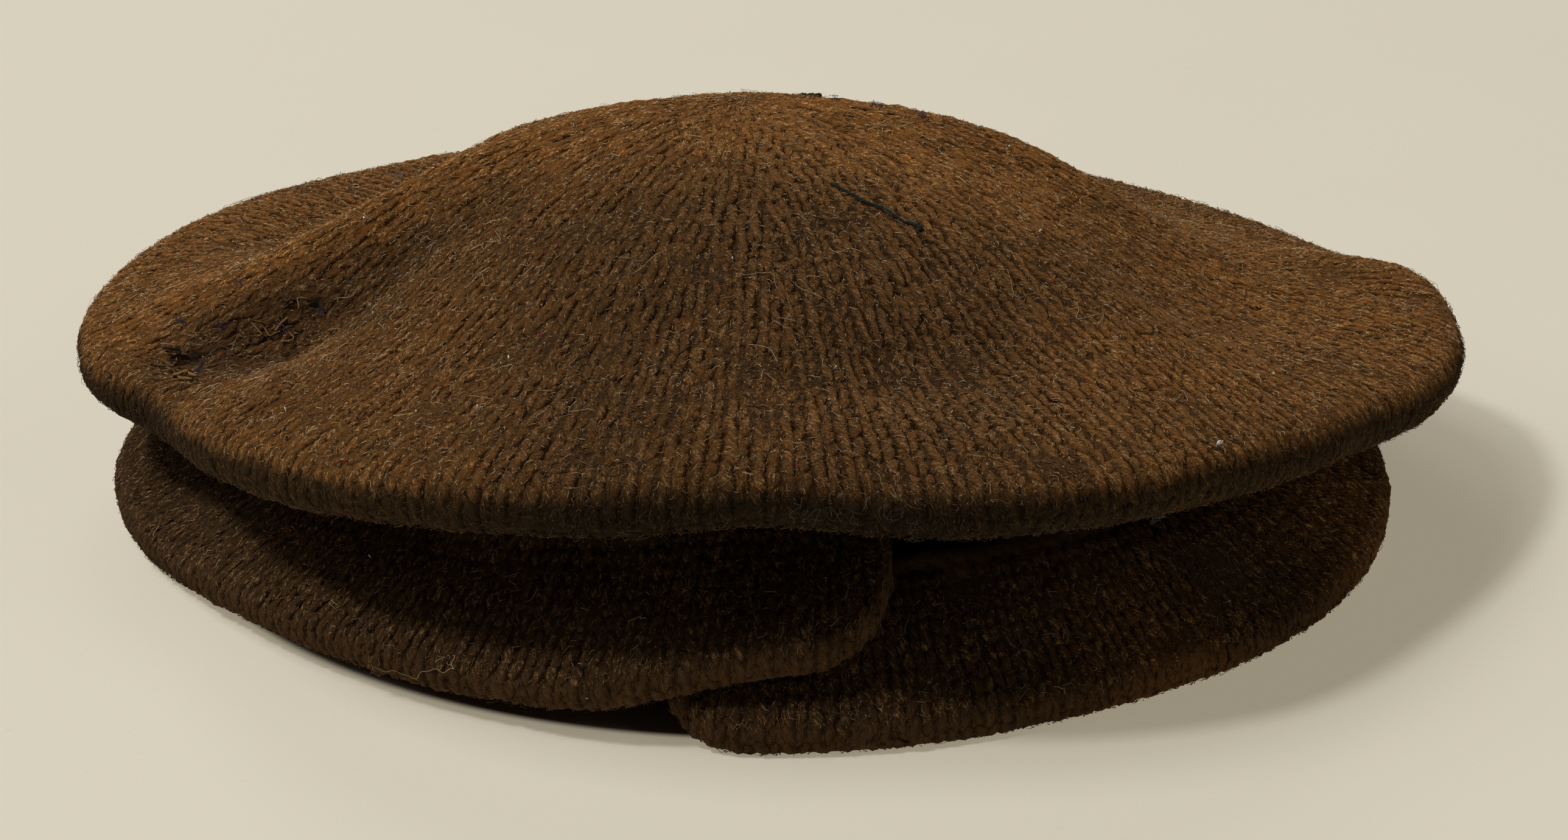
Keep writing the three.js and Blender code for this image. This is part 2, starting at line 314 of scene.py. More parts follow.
class Shade:
    """Builds one material's node tree."""

    def __init__(self, name: str) -> None:
        """Starts an empty node material of that name."""
        self.material = bpy.data.materials.new(name)
        self.material.use_nodes = True
        self.tree = self.material.node_tree
        self.tree.nodes.clear()

    def node(self, kind: str, settings: Settings, inputs: Inputs, output: str | int = 0) -> Value:
        """Adds a node.

        Args:
            kind: The node's type.
            settings: Properties set first.
            inputs: Values or links by socket name or number.
            output: The output socket that is returned.

        Returns:
            The chosen output.
        """
        made = self.tree.nodes.new(kind)
        for name, value in settings.items():
            setattr(made, name, value)
        for name, value in inputs.items():
            socket = made.inputs[name]
            if isinstance(value, Value):
                self.tree.links.new(value.socket, socket)
            elif socket.type == "RGBA":
                socket.default_value = (*value, 1.0)
            else:
                socket.default_value = value
        return Value(self, made.outputs[output])

    def math(self, operation: str, *values: Value | float) -> Value:
        """One Math node over up to three values."""
        return self.node("ShaderNodeMath", {"operation": operation}, dict(enumerate(values)))

    def mix(self, factor: Value | float, low: Value | Colour, high: Value | Colour) -> Value:
        """Two colours mixed by factor."""
        return self.node("ShaderNodeMix", {"data_type": "RGBA"}, {0: factor, 6: low, 7: high}, 2)

    def place(self) -> Value:
        """Object coordinates in millimetres."""
        place = self.node("ShaderNodeTexCoord", {}, {}, "Object")
        return self.node("ShaderNodeVectorMath", {"operation": "SCALE"}, {0: place, "Scale": 1.0 / MM})

    def axis(self, vector: Value, name: str) -> Value:
        """One part of a vector."""
        return self.node("ShaderNodeSeparateXYZ", {}, {0: vector}, name)

    def noise(self, place: Value, size: float, detail: float = 2.0, rough: float = 0.5) -> Value:
        """Noise with features of about size mm, from 0 to 1."""
        inputs = {"Vector": place, "Scale": 1.0 / size, "Detail": detail, "Roughness": rough}
        return self.node("ShaderNodeTexNoise", {}, inputs)

    def scaled(self, vector: Value, scale: Colour) -> Value:
        """A place or colour with each part scaled on its own."""
        return self.node("ShaderNodeVectorMath", {"operation": "MULTIPLY"}, {0: vector, 1: scale})

    def number(self, name: str) -> Value:
        """A number stored on the mesh."""
        return self.node("ShaderNodeAttribute", {"attribute_name": name}, {}, "Fac")

    def vector(self, name: str) -> Value:
        """A vector stored on the mesh."""
        return self.node("ShaderNodeAttribute", {"attribute_name": name}, {}, "Vector")

    def facing_up(self, patch: Value) -> Value:
        """How far the wool faces up, with uneven edges: 1 where it looks up, 0 below, where painted shade
        goes and its sheen is left out.
        """
        return (self.number("upward") + (patch - 0.5) * 0.6).between(0.1, 0.8)

    def painted_highlight(self, colour: Value, gain: Colour) -> Value:
        """A colour made lighter by gain as painted highlight, and darkened with painted shadow where moths
        have eaten holes.
        """
        colour = self.mix(self.number("painted_highlight"), colour, self.scaled(colour, gain))
        # Painted shadow in the moth holes.
        ragged = self.number("hole_shadow") + (self.noise(self.place(), 1.6) - 0.5) * 1.2
        return self.mix(ragged.between(0.35, 0.75), colour, HOLE)

    def lit_and_shaded(self, colour: Value, facing_up: Value, shaded: Colour, kept: float) -> Value:
        """A wool colour deepened to shaded, a painted shade, where the wool faces down, but for the share
        kept, then given the painted highlight.
        """
        colour = self.mix(facing_up, self.mix(kept, shaded, colour), colour)
        return self.painted_highlight(colour, WOOL_GAIN)

    def felted(self, share: float) -> Value:
        """A normal that follows the felted surface by share and the strand itself for the rest."""
        own = self.node("ShaderNodeNewGeometry", {}, {}, "Normal")
        inputs = {0: share, 4: own, 5: self.vector("lie")}
        mixed = self.node("ShaderNodeMix", {"data_type": "VECTOR"}, inputs, 1)
        return self.node("ShaderNodeVectorMath", {"operation": "NORMALIZE"}, {0: mixed})

    def bump(self, height: Value, distance: float, under: Value | None = None) -> Value:
        """A normal from a height of 0 to 1 that stands for distance mm, over the normal under."""
        base = {"Normal": under} if under else {}
        return self.node("ShaderNodeBump", {}, {"Height": height, "Distance": distance * MM, **base})

    def finish(self, bloom: Value | None = None, **sockets: Any) -> bpy.types.Material:
        """Ends the tree with a Principled shader.

        Args:
            bloom: Where its sheen shows, from 0 to 1, or None for all over.
            **sockets: Its sockets, an underscore for each space in a name.

        Returns:
            The material.
        """
        inputs = {name.replace("_", " "): value for name, value in sockets.items()}
        shader = self.node("ShaderNodeBsdfPrincipled", {}, inputs)
        if bloom is not None:
            dull = self.node("ShaderNodeBsdfPrincipled", {}, {**inputs, "Sheen Weight": 0.0})
            shader = self.node("ShaderNodeMixShader", {}, {0: bloom, 1: dull, 2: shader})
        end = self.tree.nodes.new("ShaderNodeOutputMaterial")
        self.tree.links.new(shader.socket, end.inputs["Surface"])
        return self.material


@dataclass(frozen=True)
class YarnFinish:
    """Wool yarn: streaks of fibre along each leg, painted shade down its sides, each leg a tone of its own.
    """

    dark: Colour  # colour of the darkest yarn, and painted shade down the sides of each leg
    body: Colour  # colour of the yarn
    warm: Colour  # a redder tone that some legs take
    tip: Colour  # colour of the loose fibre on top
    shaded: Colour  # painted shade colour for wool that faces down
    sheen: float  # strength of the sheen of its fibre

    def material(self, name: str) -> bpy.types.Material:
        """The node material under that name."""
        shade = Shade(name)
        place = shade.place()
        fibre = shade.vector("fibre")
        tone = shade.number("tone")
        rise = shade.number("rise")
        streak = shade.noise(shade.scaled(fibre, (0.6, 2.6, 1.0)), 1.0, 3.0, 0.6).between(0.36, 0.66)
        felt = shade.noise(place, 0.8, 3.0, 0.65).between(0.32, 0.7)
        fluff = shade.noise(place, 0.3, 2.0, 0.6).between(0.34, 0.68)
        patch = shade.noise(place, PATCH, 3.0, 0.55)
        light = streak * 0.42 + felt * 0.3 + fluff * 0.28 + (tone - 0.5) * 0.25
        colour = shade.mix(shade.noise(place, 3.6, 2.0).between(0.42, 0.72) * 0.7, self.body, self.warm)
        felted = 0.28 - shade.number("clear") * 0.24
        # Painted shade down the sides of each leg, where rise is low; the tip colour leans a little to the
        # tops as painted highlight.
        colour = shade.mix((light * 0.75 + rise * 0.3 + felted).between(0.0, 0.85), self.dark, colour)
        colour = shade.mix((light + rise * 0.1).between(0.62, 1.0) * 0.9, colour, self.tip)
        colour = shade.mix(patch.between(0.45, 0.75) * 0.3, colour, self.dark)
        # Painted shade on the wool that faces down, and painted highlight.
        facing_up = shade.facing_up(patch)
        colour = shade.lit_and_shaded(colour, facing_up, self.shaded, 0.15)
        height = streak * 0.5 + felt * 0.4 + fluff * 0.3
        return shade.finish(
            facing_up,
            Base_Color=colour,
            Roughness=0.95,
            Normal=shade.bump(height, 0.4, shade.felted(0.85)),
            Specular_IOR_Level=0.08,
            Sheen_Weight=self.sheen,
            Sheen_Roughness=SHEEN_ROUGHNESS,
            Sheen_Tint=SHEEN_TINT,
        )


@dataclass(frozen=True)
class FeltFinish:
    """The felted ground between and behind the stitches, ribbed where it lies bare."""

    dark: Colour  # painted shade colour of the hollows and of the ground between the stitches
    body: Colour  # colour of the fibre
    shaded: Colour  # painted shade colour for wool that faces down
    wales: int  # wales to a full turn
    sheen: float  # strength of the sheen of its fibre

    def material(self, name: str) -> bpy.types.Material:
        """The node material under that name."""
        shade = Shade(name)
        place = shade.place()
        turn = shade.axis(place, "X").math("ARCTAN2", shade.axis(place, "Y"))
        wander = shade.noise(place, 6.0) * 1.6
        rib = (turn * float(self.wales) + wander).math("COSINE") * 0.5 + 0.5
        along = shade.number("course") * (TURN / COURSE)
        course = (along + (turn * float(self.wales)).math("SINE") * 1.2).math("SINE")
        bare = shade.number("bare")
        felt = shade.noise(place, 1.2, 4.0, 0.65)
        fluff = shade.noise(place, 0.4, 2.0, 0.6)
        knit = (rib * 0.7 + course * 0.14 * rib + 0.1) * bare
        height = knit + felt * 0.5 + fluff * 0.25
        # Painted shade: the ground between the stitches is mottled toward dark, and bare ribs darken in their
        # hollows.
        strands = felt.between(0.38, 0.66) * 0.4 + fluff.between(0.4, 0.62) * 0.55
        covered = shade.mix(strands, self.dark, self.body)
        colour = shade.mix(bare, covered, shade.mix(height.between(0.05, 0.75), self.dark, self.body))
        # Painted shade on the wool that faces down, and painted highlight.
        facing_up = shade.facing_up(shade.noise(place, PATCH))
        colour = shade.lit_and_shaded(colour, facing_up, self.shaded, 0.25)
        return shade.finish(
            facing_up,
            Base_Color=colour,
            Roughness=0.97,
            Normal=shade.bump(height, 0.7),
            Specular_IOR_Level=0.1,
            Sheen_Weight=self.sheen,
            Sheen_Roughness=SHEEN_ROUGHNESS,
            Sheen_Tint=SHEEN_TINT,
        )


@dataclass(frozen=True)
class FibreFinish:
    """A loose fibre or speck, between two colours by its tone and its own unevenness, with painted shade
    where it faces down and painted highlight.
    """

    low: Colour  # colour at tone 0
    high: Colour  # colour at tone 1
    roughness: float = 0.8  # roughness of its surface
    sheen: float = 0.0  # strength of its sheen

    def material(self, name: str) -> bpy.types.Material:
        """The node material under that name."""
        shade = Shade(name)
        place = shade.place()
        uneven = shade.noise(place, 0.8, 2.0)
        facing_up = shade.facing_up(shade.noise(place, PATCH))
        # Painted shade: fibres that face down lean to the low colour.
        factor = (shade.number("tone") + (uneven - 0.5) * 0.7) * (facing_up * 0.8 + 0.2)
        colour = shade.mix(factor.between(0.0, 1.0), self.low, self.high)
        return shade.finish(
            facing_up,
            Base_Color=shade.painted_highlight(colour, FIBRE_GAIN),
            Roughness=self.roughness,
            Normal=shade.bump(uneven, 0.05, shade.felted(0.75)),
            Specular_IOR_Level=0.2,
            Sheen_Weight=self.sheen,
            Sheen_Tint=SHEEN_TINT,
        )


@dataclass(frozen=True)
class FloorFinish:
    """Pale matt board, faintly mottled, with a painted glow that lifts the shadows round the cap."""

    pale: Colour
    clouded: Colour  # its darker flecks and clouds
    painted_glow: Colour  # painted glow that lifts the shadows round the cap
    # Distances from the cap's middle, mm, between which that painted glow starts; inside them the floor keeps
    # a painted shadow under the cap
    covered: tuple[float, float] = (112.0, 114.5)

    def material(self, name: str) -> bpy.types.Material:
        """The node material under that name."""
        shade = Shade(name)
        place = shade.place()
        cloud = shade.noise(place, 60.0, 3.0)
        grain = shade.noise(place, 1.1, 3.0, 0.6)
        fleck = shade.noise(place, 2.6, 1.0).between(0.74, 0.8)
        colour = shade.mix(cloud * 0.3 + grain * 0.25 + fleck * 0.4, self.pale, self.clouded)
        squares = [shade.axis(place, name).math("POWER", 2.0) for name in "XY"]
        reach = (squares[0] + squares[1]).math("SQRT")
        # Painted light: a glow round the cap, none under it.
        painted_glow = shade.mix(reach.between(*self.covered), (0.0, 0.0, 0.0), self.painted_glow)
        return shade.finish(
            Base_Color=colour,
            Roughness=0.85,
            Normal=shade.bump(grain, 0.04),
            Specular_IOR_Level=0.2,
            Emission_Color=painted_glow,
            Emission_Strength=1.0,
        )


# Meshes


def add_mesh(name: str, points: Array, faces: Faces | Sequence[Sequence[int]]) -> bpy.types.Object:
    """A smooth mesh object in the scene.

    Args:
        name: Name of the object.
        points: Places in mm, shaped (count, 3).
        faces: Corners of each face.

    Returns:
        The object.
    """
    mesh = bpy.data.meshes.new(name)
    mesh.from_pydata((points * MM).tolist(), [], faces)
    mesh.polygons.foreach_set("use_smooth", [True] * len(mesh.polygons))
    made = bpy.data.objects.new(name, mesh)
    bpy.context.scene.collection.objects.link(made)
    return made


def store(made: bpy.types.Object, name: str, numbers: Array) -> None:
    """Stores a number or a vector for each vertex of a mesh object."""
    kind, key = ("FLOAT", "value") if numbers.ndim == 1 else ("FLOAT_VECTOR", "vector")
    layer = made.data.attributes.new(name, kind, "POINT")
    layer.data.foreach_set(key, np.ascontiguousarray(numbers, dtype=np.float32).ravel())


def store_state(made: bpy.types.Object) -> None:
    """Stores how far each vertex of a mesh object looks up, its painted highlight, how clear its stitches are
    and its painted hole shadow.
    """
    numbers = np.empty(len(made.data.vertices) * 3, dtype=np.float32)
    made.data.vertices.foreach_get("normal", numbers)
    store(made, "upward", numbers[2::3].copy())
    made.data.vertices.foreach_get("co", numbers)
    for key, state in PaintedLightAndWear().states(numbers.reshape(-1, 3) / MM).items():
        store(made, key, state)


def loop_faces(columns: int, rows: int, round_columns: bool, round_rows: bool) -> Faces:
    """Quads of a grid whose vertices are numbered column by column.

    Args:
        columns: Count of columns.
        rows: Vertices in a column.
        round_columns: Whether the last column joins the first.
        round_rows: Whether the last row joins the first.

    Returns:
        The quads.
    """
    i = np.arange(columns if round_columns else columns - 1)[:, None]
    j = np.arange(rows if round_rows else rows - 1)[None, :]
    i2, j2 = (i + 1) % columns, (j + 1) % rows
    quads = np.stack([i * rows + j, i * rows + j2, i2 * rows + j2, i2 * rows + j], axis=-1)
    return [tuple(quad) for quad in quads.reshape(-1, 4).tolist()]


@dataclass(frozen=True)
class Strands:
    """Many closed strands with pointed ends, laid along lines."""

    lines: Array  # points of each line, shaped (count, points, 3), mm
    ups: Array  # which way is up at each point
    wide: Array  # half width at each point but the two ends, shaped (count, points - 2)
    high: Array  # half height at the same points
    tone: Array  # a number for each strand
    corners: tuple[float, ...]  # angles of the corners of the strand's section, degrees, 90 being up
    end_rise: ClassVar[float] = 0.3  # share of the height where the colour of the ends is taken
    twist: ClassVar[float] = 0.35  # twist of the fibre round a strand
    apart: ClassVar[float] = 7.31  # distance in the noise between one strand and the next

    def build(self, name: str) -> bpy.types.Object:
        """Puts all the strands in one mesh, with the attributes that the finishes read.

        Args:
            name: Name of the object.

        Returns:
            The object.
        """
        count, length = self.lines.shape[:2]
        rings, sides = length - 2, len(self.corners)
        along = unit(np.gradient(self.lines, axis=1))
        side = unit(np.cross(along, self.ups))
        up = np.cross(side, along)
        angles = np.radians(self.corners)
        across = side[:, 1:-1, None] * (np.cos(angles)[None, None, :, None] * self.wide[:, :, None, None])
        over = up[:, 1:-1, None] * (np.sin(angles)[None, None, :, None] * self.high[:, :, None, None])
        ring_points = self.lines[:, 1:-1, None] + across + over
        ring_points = ring_points.reshape(count, -1, 3)
        points = np.concatenate([self.lines[:, :1], ring_points, self.lines[:, -1:]], axis=1)
        each = points.shape[1]
        quads, fans = [], []
        for r in range(rings - 1):
            for s in range(sides):
                a, b = 1 + r * sides + s, 1 + r * sides + (s + 1) % sides
                quads.append((a, a + sides, b + sides, b))
        last = 1 + (rings - 1) * sides
        for s in range(sides):
            t = (s + 1) % sides
            fans.append((0, 1 + s, 1 + t))
            fans.append((each - 1, last + t, last + s))
        starts = (np.arange(count) * each)[:, None, None]
        faces = (np.array(fans)[None] + starts).reshape(-1, 3).tolist()
        if quads:
            faces += (np.array(quads)[None] + starts).reshape(-1, 4).tolist()
        made = add_mesh(name, points.reshape(-1, 3), faces)
        to_corners = np.repeat(np.arange(length), [1] + [sides] * rings + [1])
        run = run_along(self.lines)[:, to_corners]
        lie = self.ups[:, to_corners]
        heights = np.tile(np.sin(angles) * 0.5 + 0.5, (count, rings))
        height = np.pad(heights, ((0, 0), (1, 1)), constant_values=self.end_rise)
        ring_sides = (np.cos(angles)[None, None, :] * self.wide[:, :, None]).reshape(count, -1)
        aside = np.pad(ring_sides, ((0, 0), (1, 1)))
        number = np.broadcast_to((np.arange(count) * self.apart)[:, None], run.shape)
        store(made, "tone", np.repeat(self.tone, each))
        store(made, "upward", lie[..., 2].ravel())
        store(made, "lie", lie.reshape(-1, 3))
        # Painted highlight, clearness and painted hole shadow, taken at each strand's middle.
        for key, state in PaintedLightAndWear().states(self.lines[:, length // 2]).items():
            store(made, key, np.repeat(state, each))
        store(made, "rise", height.ravel())
        store(made, "fibre", np.stack([run, aside + run * self.twist, number], axis=-1).reshape(-1, 3))
        return made


class Skin:
    """One side of a piece as a fine grid, looked up by azimuth and share of its section."""

    least_reach = 2.5  # radius below which distances round the axis are taken as they are there, mm

    def __init__(self, azimuths: Array, outline: Array, ring: bool, samples: int = 420) -> None:
        """Evens out the steps of each section.

        Args:
            azimuths: Azimuth of each column, degrees, in even steps.
            outline: Points of each column, shaped (columns, rows, 3), mm.
            ring: Whether the last column joins the first.
            samples: Steps along each section.
        """
        run = run_along(outline)
        self.lengths = run[:, -1]
        share = np.linspace(0.0, 1.0, samples)
        even = np.empty((len(outline), samples, 3))
        for i in range(len(outline)):
            for k in range(3):
                even[i, :, k] = np.interp(share * run[i, -1], run[i], outline[i, :, k])
        self.first, self.step, self.ring = azimuths[0], azimuths[1] - azimuths[0], ring
        self.points = even
        if ring:
            round_way = np.roll(even, -1, axis=0) - np.roll(even, 1, axis=0)
        else:
            round_way = np.gradient(even, axis=0)
        normals = unit(np.cross(np.gradient(even, axis=1), round_way))
        normals[:, 0] = normals[:, 1]
        self.normals = normals

    def at(self, azimuth: Array, share: Array) -> tuple[Array, Array]:
        """Places and normals on the skin.

        Args:
            azimuth: Azimuths in degrees.
            share: Shares of the way along the section, from 0 to 1.

        Returns:
            Points in mm and normals, each shaped as azimuth with one more axis.
        """
        columns, rows = self.points.shape[:2]
        u = (azimuth - self.first) / self.step
        u = np.mod(u, columns) if self.ring else np.clip(u, 0, columns - 1.001)
        v = np.clip(share, 0, 1) * (rows - 1)
        i, j = np.floor(u).astype(int), np.minimum(np.floor(v).astype(int), rows - 2)
        i = np.minimum(i, columns - 1)
        i2 = (i + 1) % columns if self.ring else np.minimum(i + 1, columns - 1)
        fu, fv = (u - i)[..., None], (v - j)[..., None]
        found = []
        for grid in (self.points, self.normals):
            found.append(
                grid[i, j] * (1 - fu) * (1 - fv)
                + grid[i2, j] * fu * (1 - fv)
                + grid[i, j + 1] * (1 - fu) * fv
                + grid[i2, j + 1] * fu * fv
            )
        return found[0], unit(found[1])

    def length_at(self, azimuth: Array) -> Array:
        """Length of the section at each azimuth, mm."""
        u = (azimuth - self.first) / self.step
        if self.ring:
            return self.lengths[np.mod(np.round(u).astype(int), len(self.lengths))]
        return self.lengths[np.clip(np.round(u).astype(int), 0, len(self.lengths) - 1)]

    def traced(self, azimuth: Array, share: Array, across: Array, along: Array) -> tuple[Array, Array]:
        """Places and normals at short distances from a start.

        Args:
            azimuth: Azimuth of each start, shaped (count,).
            share: Share of each start along its section.
            across: Distances in mm toward greater azimuth, shaped (count, points).
            along: Distances in mm along the section.

        Returns:
            Points and normals, each shaped (count, points, 3).
        """
        start = self.at(azimuth, share)[0]
        reach = np.maximum(np.hypot(start[:, 0], start[:, 1]), self.least_reach)
        turned = azimuth[:, None] + np.degrees(across / reach[:, None])
        return self.at(turned, share[:, None] + along / self.length_at(azimuth)[:, None])


@dataclass(frozen=True)
class Stitch:
    """The size and unevenness of the stitches, in mm unless said otherwise."""

    course: float = COURSE  # height of one stitch along its wale
    overlap: float = 2.0  # length of a leg as a share of the course
    lean: float = 0.13  # how far the ends of a leg lie to each side of its middle, as a share of the wale
    half_width: float = 0.32  # half width of a leg as a share of the wale
    half_height: float = 0.58  # half height of a leg
    sink: float = 0.64  # depth of a leg's middle line at its ends
    swell: float = 0.26  # how much higher its middle line lies half way
    uneven: float = 0.2  # scatter of the legs' places
    ribbing: float = 0.1  # how far the legs lean to the sides of their wale
    apart: float = 0.24  # distance from a leg to the middle of the wale, as a share of the wale
    slim: float = 0.78  # thickness of a leg near its ends, as a share of that of its middle
    bow: ClassVar[float] = 1.35  # how far a leg curls back toward its ends, radians
    matted: ClassVar[float] = 0.1  # how far felted places lower the legs
    drop: ClassVar[float] = 1.2  # how far the ribbing lowers the sides of a wale
    lean_scatter: ClassVar[float] = 0.05  # scatter of the lean, as a share of the wale
    lift_scatter: ClassVar[float] = 0.09  # scatter of the legs' heights
    width_scatter: ClassVar[float] = 0.09  # scatter of their widths, as a share
    height_scatter: ClassVar[float] = 0.08  # scatter of their thicknesses, as a share
    tone_scatter: ClassVar[float] = 0.22  # scatter of their tones, which run from 0 to 1

    def legs(self, skin: Skin, azimuth: Array, share: Array, wale: Array, seed: int) -> Strands:
        """Two legs for each stitch, open toward the start of the section.

        Args:
            skin: What the stitches lie on.
            azimuth: Azimuth of each stitch, degrees.
            share: Share of the way along the section of each stitch.
            wale: Width of the wale at each stitch, mm.
            seed: Seed of the unevenness.

        Returns:
            The legs of all the stitches.
        """
        rng = np.random.default_rng(seed)
        count = len(azimuth)
        azimuth, share, wale = (np.repeat(a, 2) for a in (azimuth, share, wale))
        hand = np.tile([-1.0, 1.0], count)
        q = np.linspace(-1.0, 1.0, 5)[None, :]
        lean = rng.normal(size=(2 * count, 1)) * self.lean_scatter
        scatter = rng.normal(size=(2 * count, 2)) * self.uneven
        off = self.apart + (self.lean + lean) * np.sin(q * self.bow)
        across = hand[:, None] * wale[:, None] * off + scatter[:, :1]
        along = -q * self.course * self.overlap / 2 + scatter[:, 1:]
        points, ups = skin.traced(azimuth, share, across, along)
        aside = np.cross(unit(np.gradient(points, axis=1)), ups)
        ups = unit(ups + aside * hand[:, None, None] * self.ribbing)
        felted = Ripple(seed + 5, 9.0, 40.0).at(points[:, 2])
        lift = -self.sink + self.swell * np.cos(q * math.pi / 2) - self.matted * felted[:, None]
        lift = lift + rng.normal(size=(2 * count, 1)) * self.lift_scatter
        lift = lift - self.drop * self.ribbing * (np.abs(across) / wale[:, None]) ** 2
        lines = points + ups * lift[..., None]
        swell = np.array([self.slim, 1.0, self.slim])[None, :]
        width = 1.0 + rng.normal(size=(2 * count, 1)) * self.width_scatter
        wide = self.half_width * wale[:, None] * swell * width
        high = self.half_height * swell * (1.0 + rng.normal(size=(2 * count, 1)) * self.height_scatter)
        tone = np.clip(0.5 + rng.normal(size=2 * count) * self.tone_scatter, 0, 1)
        return Strands(lines, ups, wide, high, tone, (0.0, 90.0, 180.0, 270.0))


# Crown


@dataclass(frozen=True)
class Dent:
    """A soft dent of the top; a bump has a negative depth. Sizes in mm, turn in degrees."""

    x: float
    y: float
    across: float
    along: float
    turn: float
    depth: float

    def at(self, x: Array, y: Array) -> Array:
        """Depth of the dent at each place in plan."""
        turn = math.radians(self.turn)
        across = ((x - self.x) * math.cos(turn) + (y - self.y) * math.sin(turn)) / self.across
        along = ((y - self.y) * math.cos(turn) - (x - self.x) * math.sin(turn)) / self.along
        return self.depth * np.exp(-across * across - along * along)


CROWN_SECTIONS = Sections(
    ("azimuth", "reach", "rim", "h30", "h60", "h90", "neck"),
    (
        (0, 124.5, 47.5, 75.5, 70, 60.5, 31),
        (14, 127.5, 45, 75.2, 68.5, 57.5, 30.5),
        (28, 129, 44, 75.2, 68, 57, 23.5),
        (38, 127, 42, 75.2, 68, 57, 21),
        (48, 124.5, 39, 75.2, 67.8, 56, 20.5),
        (60, 124.5, 36, 75, 64.5, 49.5, 19.5),
        (74, 128, 31.5, 74.8, 62, 45.5, 18.5),
        (88, 131.5, 29.5, 74.5, 61.5, 44.5, 18),
        (98, 129.5, 31, 73, 58.5, 43, 18),
        (110, 124, 26, 71, 55.5, 40, 18),
        (135, 121, 24, 67.5, 51, 37, 18),
        (160, 121, 24, 65.5, 51, 37, 18),
        (185, 122, 24, 65, 51, 38, 18),
        (210, 124, 25.5, 66, 51, 37, 18),
        (230, 126, 28.5, 68.5, 52, 36, 18),
        (250, 129, 30, 71, 54.5, 37.5, 18),
        (266, 131, 29.5, 74, 61, 45.5, 18),
        (280, 128.5, 30, 75.2, 66, 51, 18),
        (288, 122.5, 31, 75.2, 64.5, 46, 18.5),
        (295, 119.5, 31.5, 75.2, 63.5, 43.5, 19.5),
        (306, 123.5, 36, 75.2, 65, 49, 20.5),
        (320, 127.5, 40, 75.5, 67.5, 54.5, 23),
        (335, 129, 44, 75.5, 69.5, 58.5, 27.5),
        (348, 128, 46, 75.5, 70.5, 60.5, 30.5),
    ),
    ring=True,
)

BRIM_SECTIONS = Sections(
    ("azimuth", "reach", "lift", "inner_lift"),
    (
        (-9, 121, 0, 3),
        (10, 122, 0, 3),
        (30, 121.5, 0, 3),
        (58, 123.5, 0, 1),
        (90, 122, 0, 0),
        (135, 121, 0, 0),
        (180, 120, 0, 0),
        (225, 121, 0, 0),
        (270, 121, 0, 0),
        (290, 118.2, 0.5, 0),
        (305, 115.8, 2.5, 2),
        (320, 116.2, 4, 4.5),
        (336, 118, 4.5, 9),
        (348, 120.5, 6.5, 12),
        (356, 119.5, 10.5, 13),
        (363, 119, 13, 13),
        (373.5, 118.5, 13, 13),
    ),
    ring=False,
)


